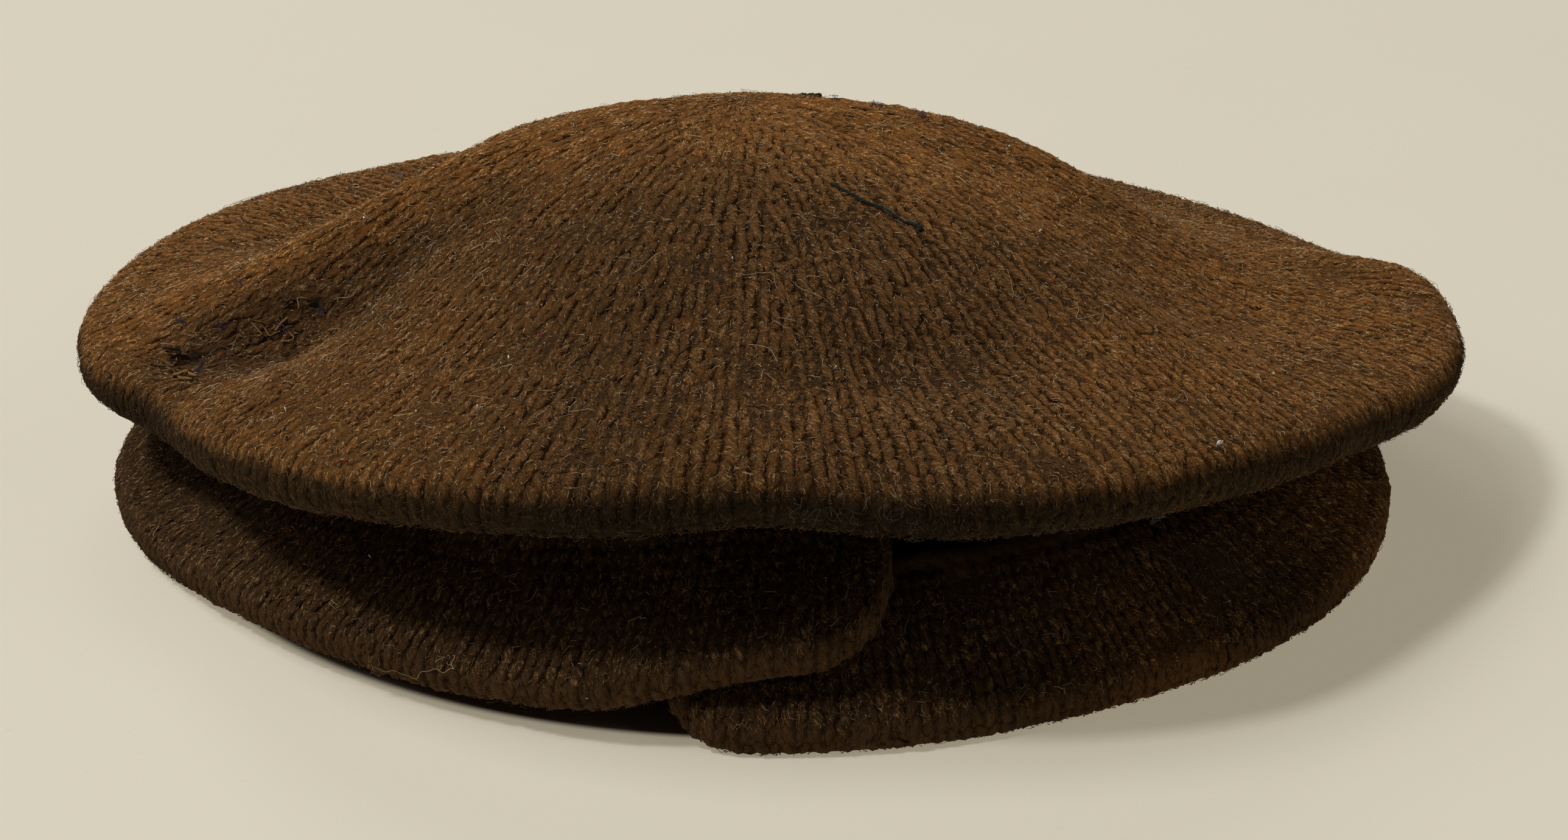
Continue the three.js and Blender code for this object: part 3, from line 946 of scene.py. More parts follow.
@dataclass
class Crown:
    """The wide hollow crown: a soft dome, a rolled rim, an underside and a short neck."""

    node: str = "crown"
    apex_height: float = 77.0  # height of the middle of the top
    apex_shift: float = -4.0  # how far the middle lies toward +X
    wall: float = 3.0  # thickness of the knit
    roll: float = 5.5  # radius of the rolled rim
    opening: float = 83.0  # radius of the head opening
    neck_bottom: float = 11.0  # height of the neck's lower edge
    neck_bend: float = 4.0  # radius of the bend between underside and neck
    wales: int = 150  # wales round the rim
    zone_reach: float = 97.0  # radius at which the first decreases lie
    zone_ratio: float = 0.87  # share of the wales that each zone keeps, and of the radius
    zones: int = 24  # count of zones
    tuck: float = 0.9  # how far the stitches of two zones overlap
    ground: float = 0.34  # depth of the felted skin below the yarn's envelope
    lumps: float = 0.16  # height of the unevenness of that skin
    stitch: Stitch = Stitch()
    # Soft dents of the top
    dents: tuple[Dent, ...] = (
        Dent(27, -83, 18, 12, 20, 2.8),
        Dent(4, -84, 12, 11, 0, -1.4),
        Dent(-92, -33, 24, 9, 3, 3.0),
        Dent(-88, -11, 36, 6, 0, -1.6),
        Dent(105, 8, 13, 8, -20, 1.8),
        Dent(-57, 80, 18, 18, 0, -3.6),
        Dent(-50, 12, 15, 17, 0, -3.2),
        Dent(50, 4, 15, 14, 0, -2.0),
    )
    roll_start: float = 70.0  # angle on the roll where the top meets it
    roll_end: float = -80.0  # angle where the underside leaves it
    roll_share: float = 0.72  # share of the section beyond which all stitches belong to the first zone
    zone_turn: float = 0.618  # how far each zone is turned against the last, in wales
    bald: float = 1.5  # radius of the middle, where no stitch lies
    narrowest: float = 3.0  # radius below which the wales get no narrower
    # Size, count and phase of the waves in the radius of the zones
    zone_waves: tuple[tuple[float, int, float], ...] = ((2.5, 7, 0.7), (1.6, 19, 2.0))
    dent_fade: float = 5.0  # distance to the roll over which the dents fade out
    # Angles of the points on the neck's bend
    bend_angles: ClassVar[tuple[float, ...]] = (110.0, 130.0, 150.0, 180.0)
    neck_rows: ClassVar[int] = 8  # rows of the felted skin at the neck that keep to the solid
    covered_rows: ClassVar[int] = 45  # rows of the felted skin that the stitches cover

    def outside(self, azimuth: Array, top: int, roll: int, under: int) -> Array:
        """The outer side of the crown's solid.

        Args:
            azimuth: Azimuth of each column, degrees.
            top: Steps over the dome.
            roll: Steps round the rolled rim.
            under: Steps along the underside.

        Returns:
            Radius and height, shaped (columns, rows, 2), from the apex to the neck's lower edge.
        """
        table = CROWN_SECTIONS.at(azimuth)
        fixed = np.ones_like(azimuth)
        centre = table["reach"] - self.roll
        start = math.radians(self.roll_start)
        edge = centre + self.roll * math.cos(start)
        knots = np.stack([0 * fixed, 30 * fixed, 60 * fixed, 90 * fixed, edge], axis=1)
        apex = self.apex_height * fixed
        last = table["rim"] + self.roll * math.sin(start)
        heights = np.stack([apex, table["h30"], table["h60"], table["h90"], last], axis=1)
        reach = edge[:, None] * np.linspace(0.0, 1.0, top + 1)[None, :]
        height = curve_through(knots, heights, reach, 0.0, -1.0 / math.tan(start))
        way = np.radians(azimuth)[:, None]
        near_roll = np.clip((edge[:, None] - reach) / self.dent_fade, 0.0, 1.0)
        for dent in self.dents:
            height = height - dent.at(reach * np.sin(way), -reach * np.cos(way)) * near_roll
        parts = [np.stack([reach, height], axis=-1)]
        angles = np.radians(np.linspace(self.roll_start, self.roll_end, roll + 1)[1:])
        rim = table["rim"][:, None]
        parts.append(self.arc(centre[:, None], rim, self.roll, angles))
        neck_radius = self.opening + self.wall
        bend_centre = neck_radius + self.neck_bend
        bottom = rim - self.roll
        t = np.linspace(0.0, 1.0, under + 1)[None, 1:]
        bend_top = table["neck"][:, None] + self.neck_bend
        under_reach = centre[:, None] + (bend_centre - centre[:, None]) * t
        under_height = bottom + (bend_top - bottom) * t * t * (3 - 2 * t)
        parts.append(np.stack([under_reach, under_height], axis=-1))
        bends = np.radians(np.array(self.bend_angles))
        parts.append(self.arc(bend_centre * fixed[:, None], table["neck"][:, None], self.neck_bend, bends))
        parts.append(np.stack([neck_radius * fixed, self.neck_bottom * fixed], axis=-1)[:, None])
        return np.concatenate(parts, axis=1)

    @staticmethod
    def arc(centre: Array, height: Array, radius: float, angles: Array) -> Array:
        """Points of an arc in each column, as radius and height."""
        along = np.broadcast_to(centre + radius * np.cos(angles)[None, :], (len(centre), len(angles)))
        up = np.broadcast_to(height + radius * np.sin(angles)[None, :], along.shape)
        return np.stack([along, up], axis=-1)

    def inset(self, section: Array, depth: Array | float) -> Array:
        """Moves an outer section inward, square to itself.

        Args:
            section: Radius and height, shaped (columns, rows, 2).
            depth: How far each row moves, mm.

        Returns:
            The moved section.
        """
        ahead = np.concatenate([section[:, 1:], section[:, -1:]], axis=1)
        behind = np.concatenate([section[:, :1], section[:, :-1]], axis=1)
        way = unit(ahead - behind)
        way[:, 0] = (1.0, 0.0)
        way[:, -1] = (0.0, -1.0)
        return section + np.stack([way[..., 1], -way[..., 0]], axis=-1) * np.reshape(depth, (1, -1, 1))

    def placed(self, azimuth: Array, section: Array) -> Array:
        """Puts sections into space, with the apex shifted sideways."""
        reach = CROWN_SECTIONS.at(azimuth)["reach"][:, None]
        return turned_out(section, azimuth, self.apex_shift * (1 - section[..., 0] / reach) ** 2)

    def skin(self) -> Skin:
        """The outer side from the apex to part of the way along the underside."""
        azimuth = np.arange(720) * 0.5
        section = self.outside(azimuth, 120, 40, 24)
        return Skin(azimuth, self.placed(azimuth, section)[:, : 121 + 40 + 12], ring=True)

    def build_ground(self, columns: int = 240) -> bpy.types.Object:
        """The closed felted skin, outside and inside in one.

        Args:
            columns: Columns round the crown.

        Returns:
            The object.
        """
        azimuth = np.arange(columns) * (360.0 / columns)
        section = self.outside(azimuth, 30, 10, 10)
        rows = section.shape[1]
        row = np.arange(rows)
        near_neck = np.clip((rows - self.neck_rows - row) / 5.0, 0.0, 1.0)
        outer = self.inset(section, self.ground * near_neck)
        inner = self.inset(section, self.wall)
        grid = np.concatenate([self.placed(azimuth, outer), self.placed(azimuth, inner)[:, ::-1]], axis=1)
        fade = np.concatenate([near_neck, 0.5 * near_neck[::-1]])
        grid[..., 2] += Ripple(3, 6.0, 30.0).at(grid) * self.lumps * fade[None, :]
        course = run_along(grid)
        body = grid[:, 1:-1]
        count = body.shape[1]
        points = np.concatenate([body.reshape(-1, 3), [grid[:, 0].mean(axis=0)], [grid[:, -1].mean(axis=0)]])
        faces = loop_faces(columns, count, True, False)
        for i in range(columns):
            k = (i + 1) % columns
            faces.append((columns * count, i * count, k * count))
            faces.append((columns * count + 1, (k + 1) * count - 1, (i + 1) * count - 1))
        made = add_mesh("crown_ground", points, faces)
        bare = np.concatenate([np.clip((row - self.covered_rows) / 3.0, 0.0, 1.0), np.ones(rows)])[1:-1]
        store(made, "bare", np.concatenate([np.tile(bare, columns), [0.0, 1.0]]))
        store(made, "course", np.concatenate([course[:, 1:-1].ravel(), [0.0, course[0, -1]]]))
        store_state(made)
        return made

    def stitch_places(self, skin: Skin) -> tuple[Array, Array, Array]:
        """Where the stitches lie: wales that merge zone by zone toward the middle.

        Args:
            skin: The outer side.

        Returns:
            Azimuth, share of the section and wale width of each stitch.
        """
        courses = int(round(float(skin.lengths.mean()) / self.stitch.course))
        found = []
        for zone in range(self.zones):
            wales = int(round(self.wales * self.zone_ratio**zone))
            azimuth = (np.arange(wales) + (zone * self.zone_turn) % 1.0) * (360.0 / wales)
            share = (np.arange(courses) + 0.6) / courses
            azimuth, share = (a.ravel() for a in np.meshgrid(azimuth, share, indexing="ij"))
            points = skin.at(azimuth, share)[0]
            reach = np.hypot(points[:, 0] - self.apex_shift * (1 - share), points[:, 1])
            way = np.radians(azimuth)
            edge = self.zone_reach
            for size, number, phase in self.zone_waves:
                edge = edge + size * np.sin(number * way + phase)
            before_roll = np.where(share < self.roll_share, reach, math.inf)
            inner = 0.0 if zone == self.zones - 1 else edge * self.zone_ratio**zone - self.tuck
            outer = edge * self.zone_ratio ** (zone - 1) + self.tuck if zone else math.inf
            belongs = (before_roll > inner) & (before_roll <= outer) & (reach > self.bald)
            width = np.maximum(reach, self.narrowest) * TURN / wales
            found.append(np.stack([azimuth, share, width], axis=1)[belongs])
        places = np.concatenate(found)
        return places[:, 0], places[:, 1], places[:, 2]

    def build_stitches(self, skin: Skin) -> list[bpy.types.Object]:
        """The yarn of the stitches, as one piece over the top and one round the rim.

        Args:
            skin: The outer side.

        Returns:
            The two objects.
        """
        azimuth, share, wale = self.stitch_places(skin)
        split = float(np.median(share))
        pieces = []
        for name, part, seed in (
            ("crown_top_stitches", share < split, 11),
            ("crown_rim_stitches", share >= split, 12),
        ):
            legs = self.stitch.legs(skin, azimuth[part], share[part], wale[part], seed)
            pieces.append(legs.build(name))
            LOG.info("%s: %d legs", name, len(legs.tone))
        return pieces


@dataclass
class Brim:
    """The doubled brim: a strip that starts under its own far end and comes round over it."""

    node: str = "brim"
    thickness: float = 8.0  # thickness of the doubled knit
    flattening: float = 0.45  # how far its rest face is pressed flat
    inner_radius: float = 86.8  # radius of its inner edge
    inner_height: float = 16.5  # height of the middle of its inner edge
    corner: float = 20.0  # radius of the corners at its ends
    shift: float = -4.0  # how far its outer edge lies toward +X
    wales: int = 160  # wales to a full turn
    ground: float = 0.34  # depth of the felted skin below the yarn's envelope
    lumps: float = 0.2  # height of the unevenness of that skin
    margin: float = 0.9  # how far the stitches stay away from the ends, degrees
    stitch: Stitch = Stitch(half_height=0.65, swell=0.3)
    top_steps: int = 26  # steps over its upper side
    edge_steps: int = 16  # steps round its outer edge
    rest_steps: int = 8  # steps along its lower side
    inner_steps: int = 8  # steps round the inner edge
    end_round: float = 0.9  # how far its ends are rounded off, 1 being a full half circle
    inset_end: float = 0.6  # share of the outer edge from which the felted skin comes out to the solid
    # Distances of the columns next to each end
    end_columns: tuple[float, ...] = (0.0, 0.2, 0.6, 1.2, 2.0, 3.0, 4.3, 6.0)
    bare_rows: int = 4  # rows of the felted skin at the inner edge that lie bare
    covered_edge: float = 0.8  # share of the outer edge where the stitches cover it
    stitch_start: float = 95.0  # radius at which the stitches start
    stitch_end: float = 0.97  # share of the section at which they end

    @property
    def first(self) -> float:
        """Azimuth where the strip starts."""
        return BRIM_SECTIONS.rows[0][0]

    @property
    def last(self) -> float:
        """Azimuth where the strip ends."""
        return BRIM_SECTIONS.rows[-1][0]

    @property
    def degree(self) -> float:
        """Length of one degree along the outer edge, mm."""
        return BRIM_SECTIONS.rows[0][1] * TURN / 360

    def azimuths(self, step: float) -> Array:
        """Azimuths from end to end, closer together toward the ends."""
        ends = np.array(self.end_columns) / self.degree
        middle = np.linspace(self.first, self.last, int(round((self.last - self.first) / step)) + 1)
        margin = ends[-1] + step / 2
        inside = middle[(middle > self.first + margin) & (middle < self.last - margin)]
        return np.concatenate([self.first + ends, inside, (self.last - ends)[::-1]])

    def outline(self, azimuth: Array, inset: float) -> Array:
        """The closed section of the strip at each azimuth.

        Args:
            azimuth: Azimuths in degrees.
            inset: How far the upper side lies inside the solid's, mm.

        Returns:
            Points in mm, shaped (columns, rows, 3), from the inner edge over the top and back below.
        """
        table = BRIM_SECTIONS.at(azimuth)
        half = self.thickness / 2
        from_end = np.maximum(np.minimum(azimuth - self.first, self.last - azimuth) * self.degree, 0.0)
        slim = np.sqrt(1 - (self.end_round * (1 - np.minimum(from_end / half, 1.0))) ** 2)
        cut = self.corner - np.sqrt(self.corner**2 - np.maximum(self.corner - from_end, 0.0) ** 2)
        outer_r = table["reach"] - cut - half
        edge_z = half - self.flattening + table["lift"]
        inner_r = np.full_like(azimuth, self.inner_radius + half)
        inner_z = self.inner_height + table["inner_lift"]
        outer_z = inner_z + (edge_z - inner_z) * (outer_r - inner_r) / (table["reach"] - half - inner_r)
        slope = np.degrees(np.arctan2(inner_z - outer_z, outer_r - inner_r))
        up, down = 90.0 - slope, -90.0 - slope
        rows: list[Array] = []

        def around(r: Array, z: Array, angle: Array, size: Array) -> Array:
            """A point of the section at an angle from one of its two centres."""
            turned = np.radians(angle)
            return np.stack([r + size * np.cos(turned), z + size * np.sin(turned)], axis=-1)

        for k in range(self.top_steps):
            t = k / self.top_steps
            r, z = inner_r + (outer_r - inner_r) * t, inner_z + (outer_z - inner_z) * t
            rows.append(around(r, z, up, half * slim - inset))
        for k in range(self.edge_steps + 1):
            t = k / self.edge_steps
            size = half * slim - inset * (1.0 - max(0.0, (t - self.inset_end) / (1.0 - self.inset_end)))
            rows.append(around(outer_r, outer_z, up + (down - up) * t, size))
        for k in range(1, self.rest_steps + 1):
            t = k / self.rest_steps
            r, z = outer_r + (inner_r - outer_r) * t, outer_z + (inner_z - outer_z) * t
            rows.append(around(r, z, down, half * slim))
        for k in range(1, self.inner_steps):
            t = k / self.inner_steps
            rows.append(around(inner_r, inner_z, down - 180.0 * t, half * slim - inset * t))
        section = np.stack(rows, axis=1)
        section[..., 1] = np.maximum(section[..., 1], 0.0)
        outward = (section[..., 0] - self.inner_radius) / (table["reach"] - self.inner_radius)[:, None]
        return turned_out(section, azimuth, self.shift * outward)

    def skin(self) -> Skin:
        """The upper side from the inner edge out and round the outer edge."""
        azimuth = np.linspace(self.first, self.last, 766)
        rows = self.top_steps + self.edge_steps
        return Skin(azimuth, self.outline(azimuth, 0.0)[:, :rows], ring=False, samples=260)

    def build_ground(self, step: float = 1.0) -> bpy.types.Object:
        """The closed felted skin of the strip.

        Args:
            step: Degrees between columns.

        Returns:
            The object.
        """
        azimuth = self.azimuths(step)
        grid = self.outline(azimuth, self.ground)
        columns, count = grid.shape[:2]
        lumps = Ripple(4, 6.0, 26.0).at(grid) * self.lumps
        grid[..., 2] += lumps * np.clip(grid[..., 2] / 2.0, 0.0, 1.0)
        course = run_along(grid)
        points = np.concatenate([grid.reshape(-1, 3), [grid[0].mean(axis=0)], [grid[-1].mean(axis=0)]])
        faces = loop_faces(columns, count, False, True)
        last = (columns - 1) * count
        for j in range(count):
            k = (j + 1) % count
            faces.append((columns * count, k, j))
            faces.append((columns * count + 1, last + j, last + k))
        made = add_mesh("brim_ground", points, faces)
        rows = np.arange(count)
        covered = (rows > self.bare_rows) & (rows < self.top_steps + self.edge_steps * self.covered_edge)
        store(made, "bare", np.concatenate([np.tile(np.where(covered, 0.0, 1.0), columns), [1.0, 1.0]]))
        store(made, "course", np.concatenate([course.ravel(), [0.0, 0.0]]))
        store_state(made)
        return made

    def build_stitches(self, skin: Skin) -> bpy.types.Object:
        """The yarn of the stitches over the top and round the outer edge.

        Args:
            skin: The upper side.

        Returns:
            The object.
        """
        courses = int(round(float(np.median(skin.lengths)) / self.stitch.course))
        wales = int((self.last - self.first) / 360 * self.wales)
        span = self.last - self.first - 2 * self.margin
        azimuth = self.first + self.margin + (np.arange(wales) + 0.5) * (span / wales)
        share = (np.arange(courses) + 0.5) / courses
        azimuth, share = (a.ravel() for a in np.meshgrid(azimuth, share, indexing="ij"))
        points = skin.at(azimuth, share)[0]
        reach = np.hypot(points[:, 0], points[:, 1])
        kept = (share < self.stitch_end) & (reach > self.stitch_start)
        legs = self.stitch.legs(skin, azimuth[kept], share[kept], (reach * TURN / self.wales)[kept], 21)
        LOG.info("brim_stitches: %d legs", len(legs.tone))
        made = legs.build("brim_stitches")
        places = np.empty(len(made.data.vertices) * 3)
        made.data.vertices.foreach_get("co", places)
        places[2::3] = np.maximum(places[2::3], 0.0)
        made.data.vertices.foreach_set("co", places)
        made.data.update()
        return made


# Loose wool


@dataclass(frozen=True)
class Fuzz:
    """Loose fibres that lie on a skin, all over it or near some places."""

    name: str
    count: int
    length: tuple[float, float]  # shortest and longest fibre, mm
    curl: float  # how far a fibre bends to each side, as a share of its length
    half_width: float  # half thickness of a fibre, mm
    rise: float  # how high it stands off the yarn, mm
    points: int  # points along each fibre
    seed: int  # seed of the places
    spread: float = 9.0  # how far the fibres turn from the way of the wales, radians
    dim: float = 1.6  # how much rarer the light fibres are than the dark
    places: Places = ()  # where they lie, or none for all over
    scatter: float = 0.0  # how far they lie from their place, mm
    shares: tuple[float, float] = (0.0, 1.0)  # part of the section that is covered
    sunk: ClassVar[float] = 0.15  # depth of a fibre's ends below the yarn's surface, mm
    lowest: ClassVar[float] = 0.12  # height above the table that every fibre keeps, mm

    def starts(self, skin: Skin, rng: np.random.Generator) -> tuple[Array, Array]:
        """Azimuth and share of each fibre's middle."""
        if self.places:
            azimuth, share = (np.repeat(each, self.count) for each in np.array(self.places).T)
            reach = np.hypot(*skin.at(azimuth, share)[0][:, :2].T)
            azimuth = azimuth + np.degrees(rng.normal(size=len(azimuth)) * self.scatter / reach)
            return azimuth, share + rng.normal(size=len(share)) * self.scatter / skin.length_at(azimuth)
        low, high = self.shares
        share = low + (high - low) * rng.random(self.count * 3)
        span = 360.0 if skin.ring else skin.step * (len(skin.points) - 1)
        azimuth = skin.first + span * rng.random(self.count * 3)
        start = skin.at(azimuth, share)[0]
        reach = np.hypot(start[:, 0], start[:, 1])
        kept = np.flatnonzero(rng.random(len(reach)) < reach / reach.max())[: self.count]
        return azimuth[kept], share[kept]

    def build(self, skin: Skin) -> bpy.types.Object:
        """Lays the fibres on a skin.

        Args:
            skin: What they lie on.

        Returns:
            The object.
        """
        rng = np.random.default_rng(self.seed)
        azimuth, share = self.starts(skin, rng)
        count = len(azimuth)
        length = self.length[0] + (self.length[1] - self.length[0]) * rng.random(count) ** 2
        way = math.pi / 2 + rng.normal(size=count) * self.spread
        q = np.linspace(0.0, 1.0, self.points)[None, :]
        bend = rng.normal(size=(count, 3, 1)) * self.curl * length[:, None, None]
        aside = bend[:, 0] * np.sin(math.pi * q)
        aside = aside + bend[:, 1] * np.sin(TURN * q) + bend[:, 2] * np.sin(1.5 * TURN * q)
        onward = length[:, None] * (q - 0.5)
        across = onward * np.cos(way)[:, None] - aside * np.sin(way)[:, None]
        along = onward * np.sin(way)[:, None] + aside * np.cos(way)[:, None]
        points, ups = skin.traced(azimuth, share, across, along)
        stand = self.rise * (0.35 + rng.random((count, 1)) * 1.3)
        lift = -self.sunk + stand * np.sin(math.pi * q) ** 0.7 + 0.25 * stand * np.sin(2.5 * math.pi * q)
        lines = points + ups * lift[..., None]
        lines[..., 2] = np.maximum(lines[..., 2], self.lowest)
        wide = self.half_width * (0.7 + 0.6 * rng.random((count, 1))) * np.ones((1, self.points - 2))
        tone = rng.random(count) ** self.dim
        return Strands(lines, ups, wide, wide, tone, (90.0, 210.0, 330.0)).build(self.name)


@dataclass(frozen=True)
class Thread:
    """A single thread or hair that lies along a path."""

    name: str
    path: Places  # the points that it passes
    half_width: float  # half its thickness, mm
    lift: float  # how far its middle line lies above the yarn, mm
    wave: float = 0.0  # how far it waves to each side, mm
    knot: float = 0.0  # half thickness of the knot near its end, mm
    knot_place: ClassVar[float] = 0.93  # share of its length where the knot lies
    knot_length: ClassVar[float] = 0.035  # half length of the knot, as a share of its length

    def build(self, skin: Skin, points: int = 40) -> bpy.types.Object:
        """Lays it on a skin.

        Args:
            skin: What it lies on.
            points: Points along it.

        Returns:
            The object.
        """
        q = np.linspace(0.0, 1.0, points)
        stops = np.linspace(0.0, 1.0, len(self.path))
        azimuth, share = (np.interp(q, stops, each) for each in np.array(self.path).T)
        middle, ups = skin.at(azimuth, share)
        side = unit(np.cross(np.gradient(middle, axis=0), ups))
        aside = self.wave * (np.sin(q * 21.0) + 0.6 * np.sin(q * 47.0 + 1.0))
        lift = self.lift * (0.8 + 0.4 * np.sin(q * 17.0))
        line = middle + side * aside[:, None] + ups * lift[:, None]
        knot = self.knot * np.exp(-(((q - self.knot_place) / self.knot_length) ** 2))
        wide = (self.half_width * (1.0 + 0.15 * np.sin(q * 90.0)) + knot)[None, 1:-1]
        corners = (0.0, 72.0, 144.0, 216.0, 288.0)
        return Strands(line[None], ups[None], wide, wide, np.full(1, 0.5), corners).build(self.name)


# Studio


@dataclass(frozen=True)
class Lamp:
    """A round soft light."""

    name: str
    toward: Colour  # direction from the cap to it
    distance: float  # distance from the cap, m
    size: float  # its width, m
    power: float  # power in watts
    colour: Colour = (1.0, 1.0, 0.98)

    def build(self) -> None:
        """Places it, facing the cap."""
        light = bpy.data.lights.new(self.name, "AREA")
        light.shape = "DISK"
        light.size = self.size
        light.energy = self.power
        light.color = self.colour
        made = bpy.data.objects.new(self.name, light)
        way = np.array(self.toward) / np.linalg.norm(self.toward)
        x, y, z = way * self.distance
        made.location = (x, y, z + 0.03)
        made.rotation_euler = (math.atan2(math.hypot(x, y), z), 0.0, math.atan2(x, -y))
        bpy.context.scene.collection.objects.link(made)


@dataclass(frozen=True)
class Studio:
    """The pale floor, the lights and the camera."""

    elevation: float = 22.0  # height of the camera above the horizon, degrees
    distance: float = 0.876  # distance from the camera to its aim, m
    aim: Colour = (0.003, 0.0, 0.0125)  # what it looks at, m
    lens: float = 105.0  # focal length, mm
    ambient: float = 0.01  # brightness of the light from all round
    floor_half: float = 3000.0  # half side of the floor, mm
    floor_height: float = -0.02  # height of the floor, mm, just below the cap
    lamps: tuple[Lamp, ...] = (
        Lamp("key_light", (-0.62, -0.28, 1.0), 4.0, 0.55, 52.0),
        Lamp("soft_light", (-0.5, 0.05, 1.0), 4.0, 1.6, 31.0),
        Lamp("side_light", (-1.25, -0.14, 1.0), 6.0, 3.2, 36.0),
        Lamp("back_light", (-0.3, 1.0, 1.0), 4.0, 2.0, 19.0),
        Lamp("fill_light", (1.2, -0.7, 1.0), 4.0, 2.0, 10.0),
    )

    def build(self) -> None:
        """Makes the floor, the world, the lights and the camera."""
        corners = np.array([(-1.0, -1.0, 0.0), (1.0, -1.0, 0.0), (1.0, 1.0, 0.0), (-1.0, 1.0, 0.0)])
        corners = corners * self.floor_half + (0.0, 0.0, self.floor_height)
        floor = add_mesh("floor", corners, [(0, 1, 2, 3)])
        # The third colour is the painted glow that lifts the shadows round the cap.
        board = FloorFinish((0.66, 0.63, 0.55), (0.58, 0.55, 0.47), (0.285, 0.25, 0.18))
        floor.data.materials.append(board.material("pale_board"))
        world = bpy.data.worlds.new("studio")
        world.use_nodes = True
        background = world.node_tree.nodes["Background"]
        background.inputs["Color"].default_value = (1.0, 0.98, 0.94, 1.0)
        background.inputs["Strength"].default_value = self.ambient
        bpy.context.scene.world = world
        for lamp in self.lamps:
            lamp.build()
        lens = bpy.data.cameras.new("camera")
        lens.lens = self.lens
        lens.sensor_width = 36.0
        lens.clip_start = 0.01
        camera = bpy.data.objects.new("camera", lens)
        up = math.radians(self.elevation)
        x, y, z = self.aim
        camera.location = (x, y - self.distance * math.cos(up), z + self.distance * math.sin(up))
        camera.rotation_euler = (math.pi / 2 - up, 0.0, 0.0)
        bpy.context.scene.collection.objects.link(camera)
        bpy.context.scene.camera = camera
        bpy.context.scene.view_settings.view_transform = "Standard"


class LintColour(Enum):
    """The colours of what has caught in the wool, dark and light, linear."""

    BLUE = ((0.010, 0.012, 0.045), (0.03, 0.04, 0.17))
    TEAL = ((0.004, 0.009, 0.009), (0.012, 0.025, 0.023))
    NUB = ((0.022, 0.017, 0.006), (0.055, 0.040, 0.014))
    PALE = ((0.10, 0.10, 0.075), (0.34, 0.33, 0.26))
    WHITE = ((0.55, 0.52, 0.42), (0.90, 0.86, 0.74))
    RED = ((0.28, 0.03, 0.012), (0.42, 0.07, 0.03))
    YELLOW = ((0.5, 0.28, 0.05), (0.8, 0.5, 0.12))
    CURL = ((0.30, 0.19, 0.09), (0.62, 0.45, 0.27))


class WoolColour(Enum):
    """The colours of the wool, linear."""

    # also the painted shade in the hollows and down the sides of the legs
    DARK = (0.020, 0.0105, 0.0042)
    BODY = (0.107, 0.0515, 0.0172)
    WARM = (0.140, 0.054, 0.0140)
    RUSSET = (0.085, 0.043, 0.0175)
    TIP = (0.40, 0.225, 0.09)
    # painted shade colour for wool that faces down
    SHADED = (0.0085, 0.0075, 0.0042)
    NAP = (0.28, 0.14, 0.049)
    LINT = (0.72, 0.52, 0.31)


def carry(piece: bpy.types.Object, material: bpy.types.Material) -> None:
    """Dresses a piece and lets it ride with the cap.

    Args:
        piece: The piece.
        material: Its finish.
    """
    piece.data.materials.append(material)
    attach(piece, "root")


def lay(skin: Skin, slot: str, *pieces: tuple[Fuzz | Thread, bpy.types.Material]) -> None:
    """Lays loose pieces on a skin and dresses them.

    Args:
        skin: What they lie on.
        slot: Not used.
        *pieces: Each piece and its finish.
    """
    for piece, finish in pieces:
        made = piece.build(skin)
        carry(made, finish)
        LOG.info("%s: %d faces", piece.name, len(made.data.polygons))


